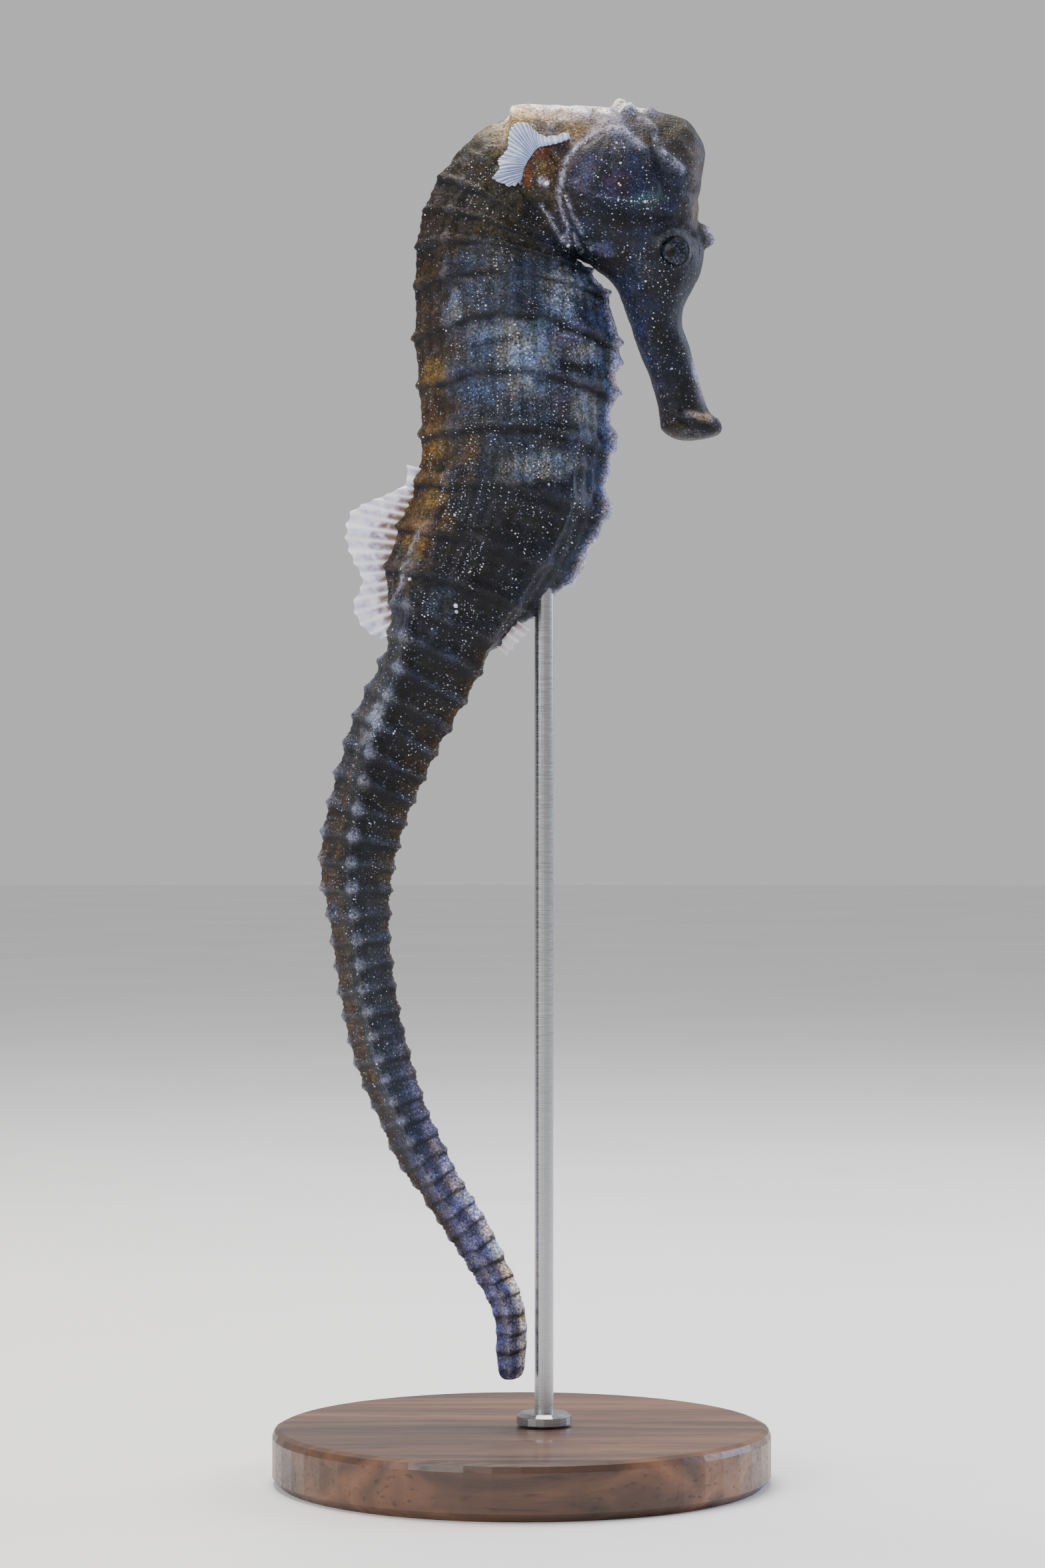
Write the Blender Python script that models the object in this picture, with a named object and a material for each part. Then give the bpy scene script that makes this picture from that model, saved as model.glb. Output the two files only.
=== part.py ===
"""Life-size model of a seahorse, held upright by one rod on a round base.

The head points to +X and the crown to +Z. The body is one tapering tube of
cross-sections from the tail tip to the mouth, cut into named lengths 0.3 mm
apart. Fins, eyes and coronet are bodies of their own. Sizes are in millimetres
and are scaled to metres where a mesh is made.
"""

import math

import bmesh
import bpy
import numpy as np

MM = 0.001
GAP = 0.3

# The body, tail tip to mouth: back point (x, z), belly point (x, z), half width.
BODY = (
    (-2.4, 12.1, 0.1, 12.3, 1.20),
    (-2.9, 14.9, 0.5, 15.5, 1.60),
    (-2.9, 18.0, 0.5, 18.5, 1.75),
    (-3.7, 20.7, -0.2, 21.9, 1.85),
    (-5.5, 24.0, -1.8, 25.6, 2.00),
    (-8.0, 27.8, -4.2, 30.5, 2.20),
    (-11.5, 33.2, -7.4, 35.6, 2.40),
    (-14.3, 37.2, -9.3, 39.5, 2.60),
    (-16.4, 41.9, -11.2, 43.6, 2.80),
    (-18.4, 46.5, -12.6, 48.0, 3.00),
    (-20.1, 52.1, -14.0, 53.3, 3.15),
    (-21.1, 57.5, -14.9, 58.2, 3.30),
    (-21.8, 62.5, -15.4, 62.9, 3.45),
    (-22.7, 67.6, -15.4, 67.7, 3.70),
    (-23.3, 72.2, -15.0, 71.2, 4.00),
    (-22.5, 77.3, -14.1, 75.3, 4.25),
    (-21.4, 82.3, -12.6, 79.0, 4.45),
    (-19.8, 87.7, -10.8, 83.3, 4.70),
    (-17.8, 92.4, -8.4, 87.7, 5.00),
    (-15.8, 96.6, -6.1, 91.8, 5.30),
    (-15.1, 101.1, -3.6, 96.5, 5.60),
    (-15.6, 105.4, 0.2, 100.4, 5.90),
    (-14.3, 110.6, 4.7, 104.5, 6.20),
    (-12.6, 115.0, 8.4, 110.4, 6.45),
    (-11.6, 118.7, 9.5, 115.9, 6.60),
    (-11.5, 122.4, 9.9, 120.7, 6.70),
    (-11.8, 127.3, 10.2, 126.6, 6.70),
    (-12.2, 132.7, 10.5, 132.1, 6.60),
    (-12.3, 137.5, 9.8, 136.9, 6.40),
    (-12.1, 142.4, 8.2, 140.0, 6.10),
    (-11.5, 146.5, 7.1, 141.4, 5.70),
    (-10.2, 149.9, 6.6, 141.9, 5.40),
    (-8.2, 153.4, 6.4, 142.1, 5.10),
    (-5.8, 155.9, 6.4, 142.1, 4.90),
    (-3.2, 158.3, 6.3, 142.1, 4.80),
    (-1.1, 159.9, 6.4, 142.1, 4.80),
    (3.6, 160.0, 6.5, 142.1, 5.00),
    (8.1, 159.8, 6.8, 142.0, 5.20),
    (11.8, 159.3, 7.3, 141.7, 5.30),
    (15.9, 159.1, 8.0, 141.4, 5.20),
    (19.3, 158.1, 8.8, 140.7, 4.90),
    (21.2, 155.0, 9.8, 140.0, 4.60),
    (20.8, 150.7, 10.7, 139.1, 4.40),
    (20.5, 146.8, 11.4, 137.9, 4.20),
    (21.2, 144.2, 12.0, 136.2, 4.00),
    (21.0, 141.2, 12.6, 134.4, 3.70),
    (19.9, 138.7, 13.1, 132.9, 3.20),
    (18.8, 136.4, 13.7, 131.3, 2.75),
    (18.7, 134.4, 14.3, 130.0, 2.40),
    (19.5, 131.9, 14.9, 128.4, 2.25),
    (20.3, 129.1, 15.4, 126.7, 2.20),
    (21.1, 126.3, 15.9, 124.8, 2.30),
    (21.8, 124.5, 16.1, 123.2, 2.50),
    (23.0, 123.2, 16.3, 122.2, 2.70),
    (23.5, 122.2, 17.3, 121.4, 2.50),
)

# Half a cross-section, back to belly: depth from -1 to 1, width from 0 to 1.
SHAPES = {
    "tail": ((-1.0, 0.0), (-1.0, 1.0), (0.0, 1.0), (1.0, 1.0), (1.0, 0.0)),
    "trunk": ((-1.0, 0.0), (-0.66, 0.66), (0.02, 1.0), (0.66, 0.68), (1.0, 0.0)),
    "head": ((-1.0, 0.0), (-0.74, 0.62), (-0.1, 1.0), (0.6, 0.78), (1.0, 0.0)),
    "snout": ((-1.0, 0.0), (-0.71, 0.71), (0.0, 1.0), (0.71, 0.71), (1.0, 0.0)),
}
SHAPE_AT = (
    (0, "tail"),
    (17, "tail"),
    (22, "trunk"),
    (29, "trunk"),
    (34, "head"),
    (45, "head"),
    (49, "snout"),
    (54, "snout"),
)
TWIST_AT = ((0, 38.0), (14, 38.0), (19, 14.0), (22, 0.0), (54, 0.0))
FACET_AT = ((0, 0.55), (17, 0.6), (22, 0.8), (30, 0.7), (34, 0.25), (54, 0.0))

# Bony rings: spacing along the body, and how far a ring and its knobs stand out.
TRUNK_RING = 5.55
TAIL_RING_TOP = 3.65
TAIL_RING_TIP = 1.95
TRUNK_START = 20
NAPE_END = 34
RING_AT = ((0, 0.10), (6, 0.2), (16, 0.32), (22, 0.45), (30, 0.35), (34, 0.0), (54, 0.0))
KNOB_AT = ((0, 0.05), (6, 0.2), (16, 0.45), (22, 0.6), (31, 0.4), (34, 0.0), (54, 0.0))

TAIL_TIP_REACH = 0.9
MOUTH_REACH = 0.45

# Swellings of both sides: centre (x, z), radius, height.
SWELLINGS = (
    (9.5, 150.2, 7.5, 1.25),
    (17.4, 142.6, 3.6, 1.9),
    (17.0, 152.6, 3.2, 0.5),
    (3.0, 152.0, 3.2, 0.6),
)

# Lengths of the body: name, first and last place on the body, colour.
LENGTHS = (
    ("tail_6", 0.0, 4.0, "pale_lilac"),
    ("tail_5", 4.0, 7.5, "pale_lilac"),
    ("tail_4", 7.5, 11.0, "dark_brown"),
    ("tail_3", 11.0, 14.0, "dark_brown"),
    ("tail_2", 14.0, 17.0, "dark_brown"),
    ("tail_1", 17.0, 20.0, "dark_brown"),
    ("trunk_lower", 20.0, 24.5, "blue_grey"),
    ("trunk_middle", 24.5, 27.0, "blue_grey"),
    ("trunk_upper", 27.0, 30.0, "blue_grey"),
    ("neck", 30.0, 33.0, "olive_brown"),
    ("nape", 33.0, 35.5, "olive_brown"),
    ("head", 35.5, 47.5, "dark_violet"),
    ("snout", 47.5, 52.0, "dark_violet"),
    ("mouth", 52.0, 54.0, "dark_violet"),
)

# Facets between two corners of a cross-section, where not two.
BODY_STEPS = {"tail_6": 1, "tail_5": 1, "head": 3}

EYE_CENTRE = (17.6, 3.5, 142.5)
EYE_RADIUS = 2.1
NOSE_SPINE = (21.3, 144.9)
NOSE_SPINE_SIZE = (1.45, 1.0, 1.15)

CORONET_CENTRE = (13.5, 158.6)
CORONET_RADII = (3.1, 2.5)
CORONET_BASE = -1.2
CORONET_TOP = 1.8
CORONET_POINTS = 5

BASE_RADIUS = 29.0
BASE_HEIGHT = 6.5
BASE_BEVEL = 1.0
ROD_X = 2.6
ROD_RADIUS = 1.1
ROD_TOP = 107.0
COLLAR_RADIUS = 3.2
COLLAR_HEIGHT = 1.3
SOCKET_DEPTH = 4.0

DORSAL_FIN_ROOT = (19.75, 23.55)
DORSAL_FIN_RAYS = 18
DORSAL_FIN_EDGE = (
    (-16.4, 97.9),
    (-17.9, 98.6),
    (-19.0, 100.1),
    (-19.7, 102.0),
    (-18.4, 104.1),
    (-18.8, 105.4),
    (-20.0, 107.6),
    (-20.6, 109.8),
    (-20.4, 111.8),
    (-19.6, 113.1),
    (-17.2, 114.2),
    (-14.8, 115.2),
    (-13.3, 115.9),
    (-13.3, 118.0),
)
ANAL_FIN_ROOT = (20.25, 20.75)
ANAL_FIN_EDGE = (20.05, 20.8)
ANAL_FIN_REACH = 1.9
PECTORAL_ROOT = (
    (5.1, 155.4),
    (3.7, 154.9),
    (2.2, 154.2),
    (0.9, 153.1),
    (0.4, 151.7),
    (0.1, 149.9),
)
PECTORAL_EDGE = (
    (5.3, 156.0),
    (3.6, 155.7),
    (2.4, 155.9),
    (0.1, 157.4),
    (-1.4, 156.7),
    (-1.6, 154.4),
    (-2.8, 152.4),
    (-3.4, 150.7),
    (-2.3, 149.8),
    (-1.2, 149.5),
)

COLOURS = {
    "pale_lilac": (0.42, 0.40, 0.50),
    "dark_brown": (0.075, 0.065, 0.06),
    "blue_grey": (0.12, 0.14, 0.19),
    "olive_brown": (0.12, 0.10, 0.065),
    "dark_violet": (0.07, 0.06, 0.10),
    "eye_black": (0.015, 0.015, 0.02),
    "fin_white": (0.62, 0.62, 0.74),
    "fin_pink": (0.60, 0.45, 0.45),
    "walnut": (0.10, 0.05, 0.03),
    "steel": (0.55, 0.55, 0.56),
}
ROUGHNESS = {"eye_black": 0.08, "steel": 0.25, "walnut": 0.4}


def material(name, colour):
    """One Principled material in a node's own name."""
    made = bpy.data.materials.new(name + "_" + colour)
    made.use_nodes = True
    shader = made.node_tree.nodes["Principled BSDF"]
    shader.inputs["Base Color"].default_value = (*COLOURS[colour], 1.0)
    shader.inputs["Roughness"].default_value = ROUGHNESS.get(colour, 0.55)
    shader.inputs["Metallic"].default_value = 1.0 if colour == "steel" else 0.0
    return made


def node(name, points, faces, colour, smooth=True):
    """One object from points in millimetres, its faces turned outwards."""
    mesh = bpy.data.meshes.new(name)
    mesh.from_pydata([tuple(p) for p in np.asarray(points) * MM], [], faces)
    shape = bmesh.new()
    shape.from_mesh(mesh)
    bmesh.ops.recalc_face_normals(shape, faces=shape.faces)
    shape.to_mesh(mesh)
    shape.free()
    for face in mesh.polygons:
        face.use_smooth = smooth
    made = bpy.data.objects.new(name, mesh)
    bpy.context.collection.objects.link(made)
    if colour:
        mesh.materials.append(material(name, colour))
    return made


def along(table, u):
    """Value of a (place, value) table at a place on the body."""
    return float(np.interp(u, [row[0] for row in table], [row[1] for row in table]))


def spline(rows, u):
    """Smooth curve through rows of numbers, one row to each whole u."""
    rows = np.asarray(rows, float)
    i = int(min(max(math.floor(u), 0), len(rows) - 2))
    t = u - i
    before = rows[max(i - 1, 0)]
    after = rows[min(i + 2, len(rows) - 1)]
    a, b = rows[i], rows[i + 1]
    return 0.5 * (
        2.0 * a
        + (b - before) * t
        + (2.0 * before - 5.0 * a + 4.0 * b - after) * t * t
        + (3.0 * (a - b) + after - before) * t**3
    )


def shape_at(u):
    """Corners of the full cross-section at u: eight of them, near side first."""
    places = [row[0] for row in SHAPE_AT]
    i = int(min(np.searchsorted(places, u, side="right") - 1, len(places) - 2))
    share = (u - places[i]) / (places[i + 1] - places[i])
    corners = []
    for name in (SHAPE_AT[i][1], SHAPE_AT[i + 1][1]):
        half = np.array(SHAPES[name])
        corners.append(np.vstack([half, half[3:0:-1] * (1.0, -1.0)]))
    turn = math.radians(along(TWIST_AT, u))
    rows = (1.0 - share) * corners[0] + share * corners[1]
    depth = rows[:, 0] * math.cos(turn) + rows[:, 1] * math.sin(turn)
    width = rows[:, 1] * math.cos(turn) - rows[:, 0] * math.sin(turn)
    low, high = depth.min(), depth.max()
    depth = (depth - low) / (high - low) * 2.0 - 1.0
    return np.column_stack([depth, width / np.abs(width).max()])


def outline_at(u, steps):
    """Closed cross-section at u in unit depth and width, `steps` to a corner."""
    corners = shape_at(u)
    facet = along(FACET_AT, u)
    points = []
    for k in range(8):
        a, b, c, d = (corners[(k + j) % 8] for j in (-1, 0, 1, 2))
        for step in range(steps):
            t = step / steps
            straight = (1.0 - t) * b + t * c
            curved = 0.5 * (
                2.0 * b
                + (c - a) * t
                + (2.0 * a - 5.0 * b + 4.0 * c - d) * t * t
                + (3.0 * (b - c) + d - a) * t**3
            )
            points.append(facet * straight + (1.0 - facet) * curved)
    return np.array(points)


def arc_table():
    """Distance along the body at every tenth of a place, a third in from the back."""
    places = np.linspace(0.0, len(BODY) - 1, 10 * (len(BODY) - 1) + 1)
    rows = np.array([spline(BODY, u) for u in places])
    line = rows[:, 0:2] * 0.65 + rows[:, 2:4] * 0.35
    step = np.hypot(*np.diff(line, axis=0).T)
    return places, np.concatenate([[0.0], np.cumsum(step)])


PLACES, ARCS = arc_table()
TRUNK_ARC = float(np.interp(TRUNK_START, PLACES, ARCS))


def ring_number(u):
    """Rings counted from the start of the trunk: whole on the crest of a ring."""
    arc = float(np.interp(u, PLACES, ARCS)) - TRUNK_ARC
    if arc >= 0.0:
        return arc / TRUNK_RING
    slope = (TAIL_RING_TOP - TAIL_RING_TIP) / TRUNK_ARC
    return math.log(1.0 + slope * arc / TAIL_RING_TOP) / slope


def ring_places(first, last, parts):
    """Places from first to last, `parts` of them to a ring."""
    places = np.linspace(first, last, 400)
    numbers = np.array([ring_number(u) for u in places])
    count = np.arange(math.ceil(numbers[0] * parts), math.floor(numbers[-1] * parts) + 1)
    found = list(np.interp(count / parts, numbers, places))
    return [first] + [u for u in found if first + 0.05 < u < last - 0.05] + [last]


def section(u, steps):
    """Points of the body's cross-section at u, in millimetres."""
    back_x, back_z, belly_x, belly_z, half = spline(BODY, u)
    middle = np.array([(back_x + belly_x) / 2, 0.0, (back_z + belly_z) / 2])
    down = np.array([(belly_x - back_x) / 2, 0.0, (belly_z - back_z) / 2])
    outline = outline_at(u, steps)
    points = middle + outline[:, :1] * down + outline[:, 1:] * (0.0, -half, 0.0)
    crest = (0.5 + 0.5 * math.cos(2.0 * math.pi * ring_number(u))) ** 2
    corner = np.arange(len(points)) % steps == 0
    height = along(RING_AT, u) * (crest - 0.4) + corner * along(KNOB_AT, u) * crest
    away = points - middle
    points += away / np.linalg.norm(away, axis=1)[:, None] * height[:, None]
    for x, z, radius, swell in SWELLINGS:
        near = np.exp(-((points[:, 0] - x) ** 2 + (points[:, 2] - z) ** 2) / radius**2)
        points[:, 1] *= 1.0 + swell / half * near
    return points


def tube(rings):
    """Points and faces of a tube through rings of equal count, both ends closed."""
    size = len(rings[0])
    points = list(np.vstack(rings))
    faces = []
    for i in range(len(rings) - 1):
        for j in range(size):
            a, b = i * size + j, i * size + (j + 1) % size
            faces.append((a, b, b + size, a + size))
    for start, turned in ((0, True), ((len(rings) - 1) * size, False)):
        points.append(np.mean(points[start : start + size], axis=0))
        for j in range(size):
            pair = (start + j, start + (j + 1) % size)
            faces.append((*(pair[::-1] if turned else pair), len(points) - 1))
    return np.array(points), faces


def keep_side(made, point, normal):
    """Cuts a mesh by a plane and keeps the side that the normal points to."""
    shape = bmesh.new()
    shape.from_mesh(made.data)
    bmesh.ops.bisect_plane(
        shape,
        geom=shape.verts[:] + shape.edges[:] + shape.faces[:],
        dist=1e-7,
        plane_co=tuple(c * MM for c in point),
        plane_no=normal,
        clear_inner=True,
    )
    rim = [edge for edge in shape.edges if edge.is_boundary]
    bmesh.ops.holes_fill(shape, edges=rim, sides=0)
    bmesh.ops.triangulate(shape, faces=shape.faces[:])
    bmesh.ops.recalc_face_normals(shape, faces=shape.faces)
    shape.to_mesh(made.data)
    shape.free()


def cut_plane(u):
    """Point on the cross-section plane at u, and its normal towards the mouth."""
    back_x, back_z, belly_x, belly_z, _ = spline(BODY, u)
    across = np.array([belly_x - back_x, belly_z - back_z])
    across /= np.linalg.norm(across)
    normal = np.array([-across[1], 0.0, across[0]])
    return np.array([(back_x + belly_x) / 2, 0.0, (back_z + belly_z) / 2]), normal


def body_length(name, first, last, colour):
    """One length of the body between two planes, half a gap inside each."""
    end = len(BODY) - 1
    start = max(first - 0.8, 0.0)
    stop = min(last + 0.8, end)
    if last <= NAPE_END - 4:
        places = ring_places(start, stop, 2 if last <= TRUNK_START else 4)
    else:
        places = list(np.linspace(start, stop, int(round((stop - start) * 1.8)) + 1))
    steps = BODY_STEPS.get(name, 2)
    rings = [section(u, steps) for u in places]
    if first <= 0.0:
        rings = cap_rings(rings[0], -1.0) + rings
    if last >= end:
        rings = rings + cap_rings(rings[-1], 1.0)[::-1]
    made = node(name, *tube(rings), colour)
    if first > 0.0:
        point, normal = cut_plane(first)
        keep_side(made, point + normal * GAP / 2, normal)
    if last < end:
        point, normal = cut_plane(last)
        keep_side(made, point - normal * GAP / 2, -normal)
    return made


def cap_rings(ring, way):
    """Shrinking rings that round off an end of the body, smallest first."""
    middle = ring.mean(axis=0)
    u = 0.0 if way < 0 else len(BODY) - 1.0
    _, normal = cut_plane(u)
    reach = TAIL_TIP_REACH if way < 0 else MOUTH_REACH
    rings = []
    for turn in (75.0, 50.0, 25.0):
        turn = math.radians(turn)
        shrunk = middle + (ring - middle) * math.cos(turn)
        rings.append(shrunk + way * normal * reach * math.sin(turn))
    return rings


def ball(name, centre, radii, colour, segments=16, rows=10):
    """Closed ellipsoid with its poles along Y."""
    rings = []
    for i in range(1, rows):
        turn = math.pi * i / rows
        angles = np.arange(segments) * 2.0 * math.pi / segments
        rings.append(
            np.column_stack(
                [
                    centre[0] + radii[0] * math.sin(turn) * np.cos(angles),
                    np.full(segments, centre[1] - radii[1] * math.cos(turn)),
                    centre[2] + radii[2] * math.sin(turn) * np.sin(angles),
                ]
            )
        )
    points, faces = tube(rings)
    points[-2] = (centre[0], centre[1] - radii[1], centre[2])
    points[-1] = (centre[0], centre[1] + radii[1], centre[2])
    return node(name, points, faces, colour)


def lathe(name, profile, colour, centre=(0.0, 0.0), segments=48, squash=None):
    """Closed body turned about a vertical axis from (radius, z) rows, bottom up."""
    angles = np.arange(segments) * 2.0 * math.pi / segments
    rings = []
    for radius, z in profile:
        reach = radius if squash is None else radius * squash(angles, z)
        rings.append(
            np.column_stack(
                [
                    centre[0] + reach * np.cos(angles),
                    centre[1] + reach * np.sin(angles),
                    np.full(segments, z),
                ]
            )
        )
    points, faces = tube(rings)
    return node(name, points, faces, colour)


def combine(target, tool, operation):
    """Boolean of a node with a hidden helper."""
    tool.hide_render = True
    tool.display_type = "WIRE"
    modifier = target.modifiers.new(tool.name, "BOOLEAN")
    modifier.object = tool
    modifier.operation = operation
    modifier.solver = "EXACT"


def coronet(name, grow, colour):
    """Low crown of rounded points; `grow` makes the socket's larger copy."""
    x, z = CORONET_CENTRE
    levels = 3
    angles = np.arange(30) * 2.0 * math.pi / 30
    rings = []
    for i in range(levels + 1):
        share = i / levels
        lobes = 1.0 + 0.16 * share * np.cos(CORONET_POINTS * angles)
        flare = (0.82 + 0.26 * math.sin(math.pi * share * 0.8)) * lobes
        top = CORONET_BASE + (CORONET_TOP - CORONET_BASE) * share
        rise = top + 0.35 * share * np.cos(CORONET_POINTS * angles)
        rings.append(
            np.column_stack(
                [
                    x + (CORONET_RADII[0] + grow) * flare * np.cos(angles),
                    (CORONET_RADII[1] + grow) * flare * np.sin(angles),
                    z + rise + grow * (2.0 * share - 1.0),
                ]
            )
        )
    rings.append(rings[-1] * (0.5, 0.5, 1.0) + (0.5 * x, 0.0, -0.55))
    return node(name, *tube(rings), colour)


def resample(rows, count):
    """`count` points evenly along a line of points."""
    rows = np.asarray(rows, float)
    arcs = np.concatenate([[0.0], np.cumsum(np.linalg.norm(np.diff(rows, axis=0), axis=1))])
    wanted = np.linspace(0.0, arcs[-1], count)
    return np.column_stack([np.interp(wanted, arcs, column) for column in rows.T])


def fin(name, root, edge, rays, thickness, ripple, colour):
    """Thin closed fin between a root line and an outer edge, rippled at each ray."""
    root = resample(root, 2 * rays - 1)
    edge = resample(edge, 2 * rays - 1)
    flow = edge.mean(axis=0) - root.mean(axis=0)
    span = root[-1] - root[0]
    normal = np.cross(flow, span)
    normal /= np.linalg.norm(normal)
    grid = []
    for i, (a, b) in enumerate(zip(root, edge)):
        wave = ripple * (1.0 if i % 2 == 0 else -1.0)
        line = []
        for share in (0.0, 0.5, 1.0):
            line.append(a + (b - a) * share + normal * wave * share)
        grid.append(line)
    grid = np.array(grid)
    loops = []
    for line in grid:
        one = line + normal * thickness / 2
        other = line - normal * thickness / 2
        loops.append(np.vstack([one, other[::-1]]))
    points, faces = tube(loops)
    return node(name, points, faces, colour)


def stand():
    """Round wooden base with a bored socket, and the rod that the body sits on."""
    base = lathe(
        "stand_base",
        (
            (BASE_RADIUS - BASE_BEVEL, 0.0),
            (BASE_RADIUS, BASE_BEVEL),
            (BASE_RADIUS, BASE_HEIGHT - BASE_BEVEL),
            (BASE_RADIUS - BASE_BEVEL * 0.3, BASE_HEIGHT - BASE_BEVEL * 0.3),
            (BASE_RADIUS - BASE_BEVEL, BASE_HEIGHT),
        ),
        "walnut",
        segments=56,
    )
    foot = BASE_HEIGHT - SOCKET_DEPTH
    bore = lathe(
        "socket_bore",
        ((ROD_RADIUS + GAP, foot - GAP), (ROD_RADIUS + GAP, BASE_HEIGHT + 2.0)),
        None,
        centre=(ROD_X, 0.0),
        segments=20,
    )
    combine(base, bore, "DIFFERENCE")
    collar = BASE_HEIGHT + GAP
    lathe(
        "stand_rod",
        (
            (ROD_RADIUS, foot),
            (ROD_RADIUS, collar),
            (COLLAR_RADIUS, collar),
            (COLLAR_RADIUS, collar + COLLAR_HEIGHT * 0.7),
            (COLLAR_RADIUS - 0.5, collar + COLLAR_HEIGHT),
            (ROD_RADIUS, collar + COLLAR_HEIGHT),
            (ROD_RADIUS, ROD_TOP - 0.5),
            (ROD_RADIUS - 0.5, ROD_TOP),
        ),
        "steel",
        centre=(ROD_X, 0.0),
        segments=20,
    )
    return lathe(
        "belly_bore",
        ((ROD_RADIUS + GAP, 90.0), (ROD_RADIUS + GAP, ROD_TOP + GAP)),
        None,
        centre=(ROD_X, 0.0),
        segments=20,
    )


def edge_line(first, last, count, offset):
    """Points in the middle plane just off the back, or the belly below zero."""
    points = []
    for u in np.linspace(first, last, count):
        back_x, back_z, belly_x, belly_z, _ = spline(BODY, u)
        away = np.array([back_x - belly_x, 0.0, back_z - belly_z])
        away /= np.linalg.norm(away)
        start = (back_x, 0.0, back_z) if offset > 0.0 else (belly_x, 0.0, belly_z)
        points.append(np.array(start) + away * offset)
    return points


def side_width(x, z):
    """Half width of the neck and head where a point of the side view falls."""
    rings = np.vstack([section(u, 6) for u in np.linspace(30.0, 42.0, 49)])
    away = np.hypot(rings[:, 0] - x, rings[:, 2] - z)
    near = away < 0.7
    return float(np.abs(rings[near, 1]).max())


def fins():
    """The dorsal fin, the anal fin and the two pectoral fins."""
    fin(
        "dorsal_fin",
        edge_line(*DORSAL_FIN_ROOT, 24, 0.95),
        [(x, 0.0, z) for x, z in DORSAL_FIN_EDGE],
        DORSAL_FIN_RAYS,
        0.55,
        0.22,
        "fin_white",
    )
    fin(
        "anal_fin",
        edge_line(*ANAL_FIN_ROOT, 6, -0.7),
        edge_line(*ANAL_FIN_EDGE, 6, -ANAL_FIN_REACH),
        5,
        0.5,
        0.1,
        "fin_pink",
    )
    for name, side in (("pectoral_fin_right", -1.0), ("pectoral_fin_left", 1.0)):
        fin(
            name,
            [(x, side * (side_width(x, z) + 0.75), z) for x, z in PECTORAL_ROOT],
            [(x, side * (side_width(x, z) + 2.2), z) for x, z in PECTORAL_EDGE],
            12,
            0.5,
            0.2,
            "fin_white",
        )


def build():
    """Clears the scene and makes every node."""
    for old in list(bpy.data.objects):
        bpy.data.objects.remove(old)
    belly_bore = stand()
    made = {row[0]: body_length(*row) for row in LENGTHS}
    combine(made["trunk_lower"], belly_bore, "DIFFERENCE")
    spine_x, spine_z = NOSE_SPINE
    spine = ball("nose_spine", (spine_x, 0.0, spine_z), NOSE_SPINE_SIZE, None, 12, 8)
    combine(made["head"], spine, "UNION")
    for name, side in (("eye_right", -1.0), ("eye_left", 1.0)):
        centre = (EYE_CENTRE[0], side * EYE_CENTRE[1], EYE_CENTRE[2])
        ball(name, centre, (EYE_RADIUS,) * 3, "eye_black")
        socket = ball(name + "_socket", centre, (EYE_RADIUS + GAP,) * 3, None)
        combine(made["head"], socket, "DIFFERENCE")
    coronet("coronet", 0.0, "dark_violet")
    combine(made["head"], coronet("coronet_socket", GAP, None), "DIFFERENCE")
    fins()


build()
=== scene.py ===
"""Scene of a life-size seahorse model on a rod and a round wooden base.

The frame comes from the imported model. Every shape here is worked out in
millimetres in that frame, X towards the snout and Z up, and is scaled to metres
where a mesh is made. The body is one skin, lofted from the tail tip to the
mouth. Fins, eyes and the pale pearls of the skin are pieces of their own.
"""

from __future__ import annotations

import logging
import math
from dataclasses import dataclass
from enum import Enum
from typing import Any

import bmesh
import bpy
import numpy as np
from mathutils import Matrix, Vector, noise
from mathutils.bvhtree import BVHTree

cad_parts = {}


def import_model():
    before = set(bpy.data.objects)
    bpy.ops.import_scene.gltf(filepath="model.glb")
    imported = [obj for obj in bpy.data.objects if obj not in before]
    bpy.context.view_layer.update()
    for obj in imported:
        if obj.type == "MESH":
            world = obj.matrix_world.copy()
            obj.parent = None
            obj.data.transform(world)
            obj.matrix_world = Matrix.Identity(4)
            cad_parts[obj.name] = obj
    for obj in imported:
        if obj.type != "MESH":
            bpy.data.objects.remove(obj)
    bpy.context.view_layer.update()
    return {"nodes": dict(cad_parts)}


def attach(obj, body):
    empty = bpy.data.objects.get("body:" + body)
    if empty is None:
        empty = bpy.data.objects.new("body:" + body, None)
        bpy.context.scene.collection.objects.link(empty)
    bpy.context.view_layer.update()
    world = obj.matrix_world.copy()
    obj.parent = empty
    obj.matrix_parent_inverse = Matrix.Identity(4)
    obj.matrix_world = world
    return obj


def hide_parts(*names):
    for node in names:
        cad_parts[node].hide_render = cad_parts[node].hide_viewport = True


LOG = logging.getLogger("seahorse")
MM = 0.001
BAKE_MAP = "OFBake"


class Side(Enum):
    """Side of the animal: its right is towards the camera, along -Y."""

    RIGHT = -1.0
    LEFT = 1.0


class Paint(Enum):
    """Airbrush paints of the skin, as sRGB hex values."""

    INK = "#07080d"
    CHARCOAL = "#14151c"
    NAVY = "#0f1524"
    INDIGO = "#1c2340"
    SLATE = "#272d3d"
    STEEL = "#343f5a"
    BLUE = "#334c7c"
    SILVER = "#8292b2"
    TEAL = "#335a68"
    VIOLET = "#40427a"
    MAUVE = "#585c8c"
    LILAC = "#a9acdc"
    PEARL = "#eeedf2"
    PLUM = "#33243c"
    RUST = "#5c2c16"
    UMBER = "#231a15"
    OLIVE = "#2e2b22"
    BARK = "#3a2e24"
    BRONZE = "#4b3a1d"
    GOLD = "#75602f"
    BONE = "#b9a888"


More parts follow.
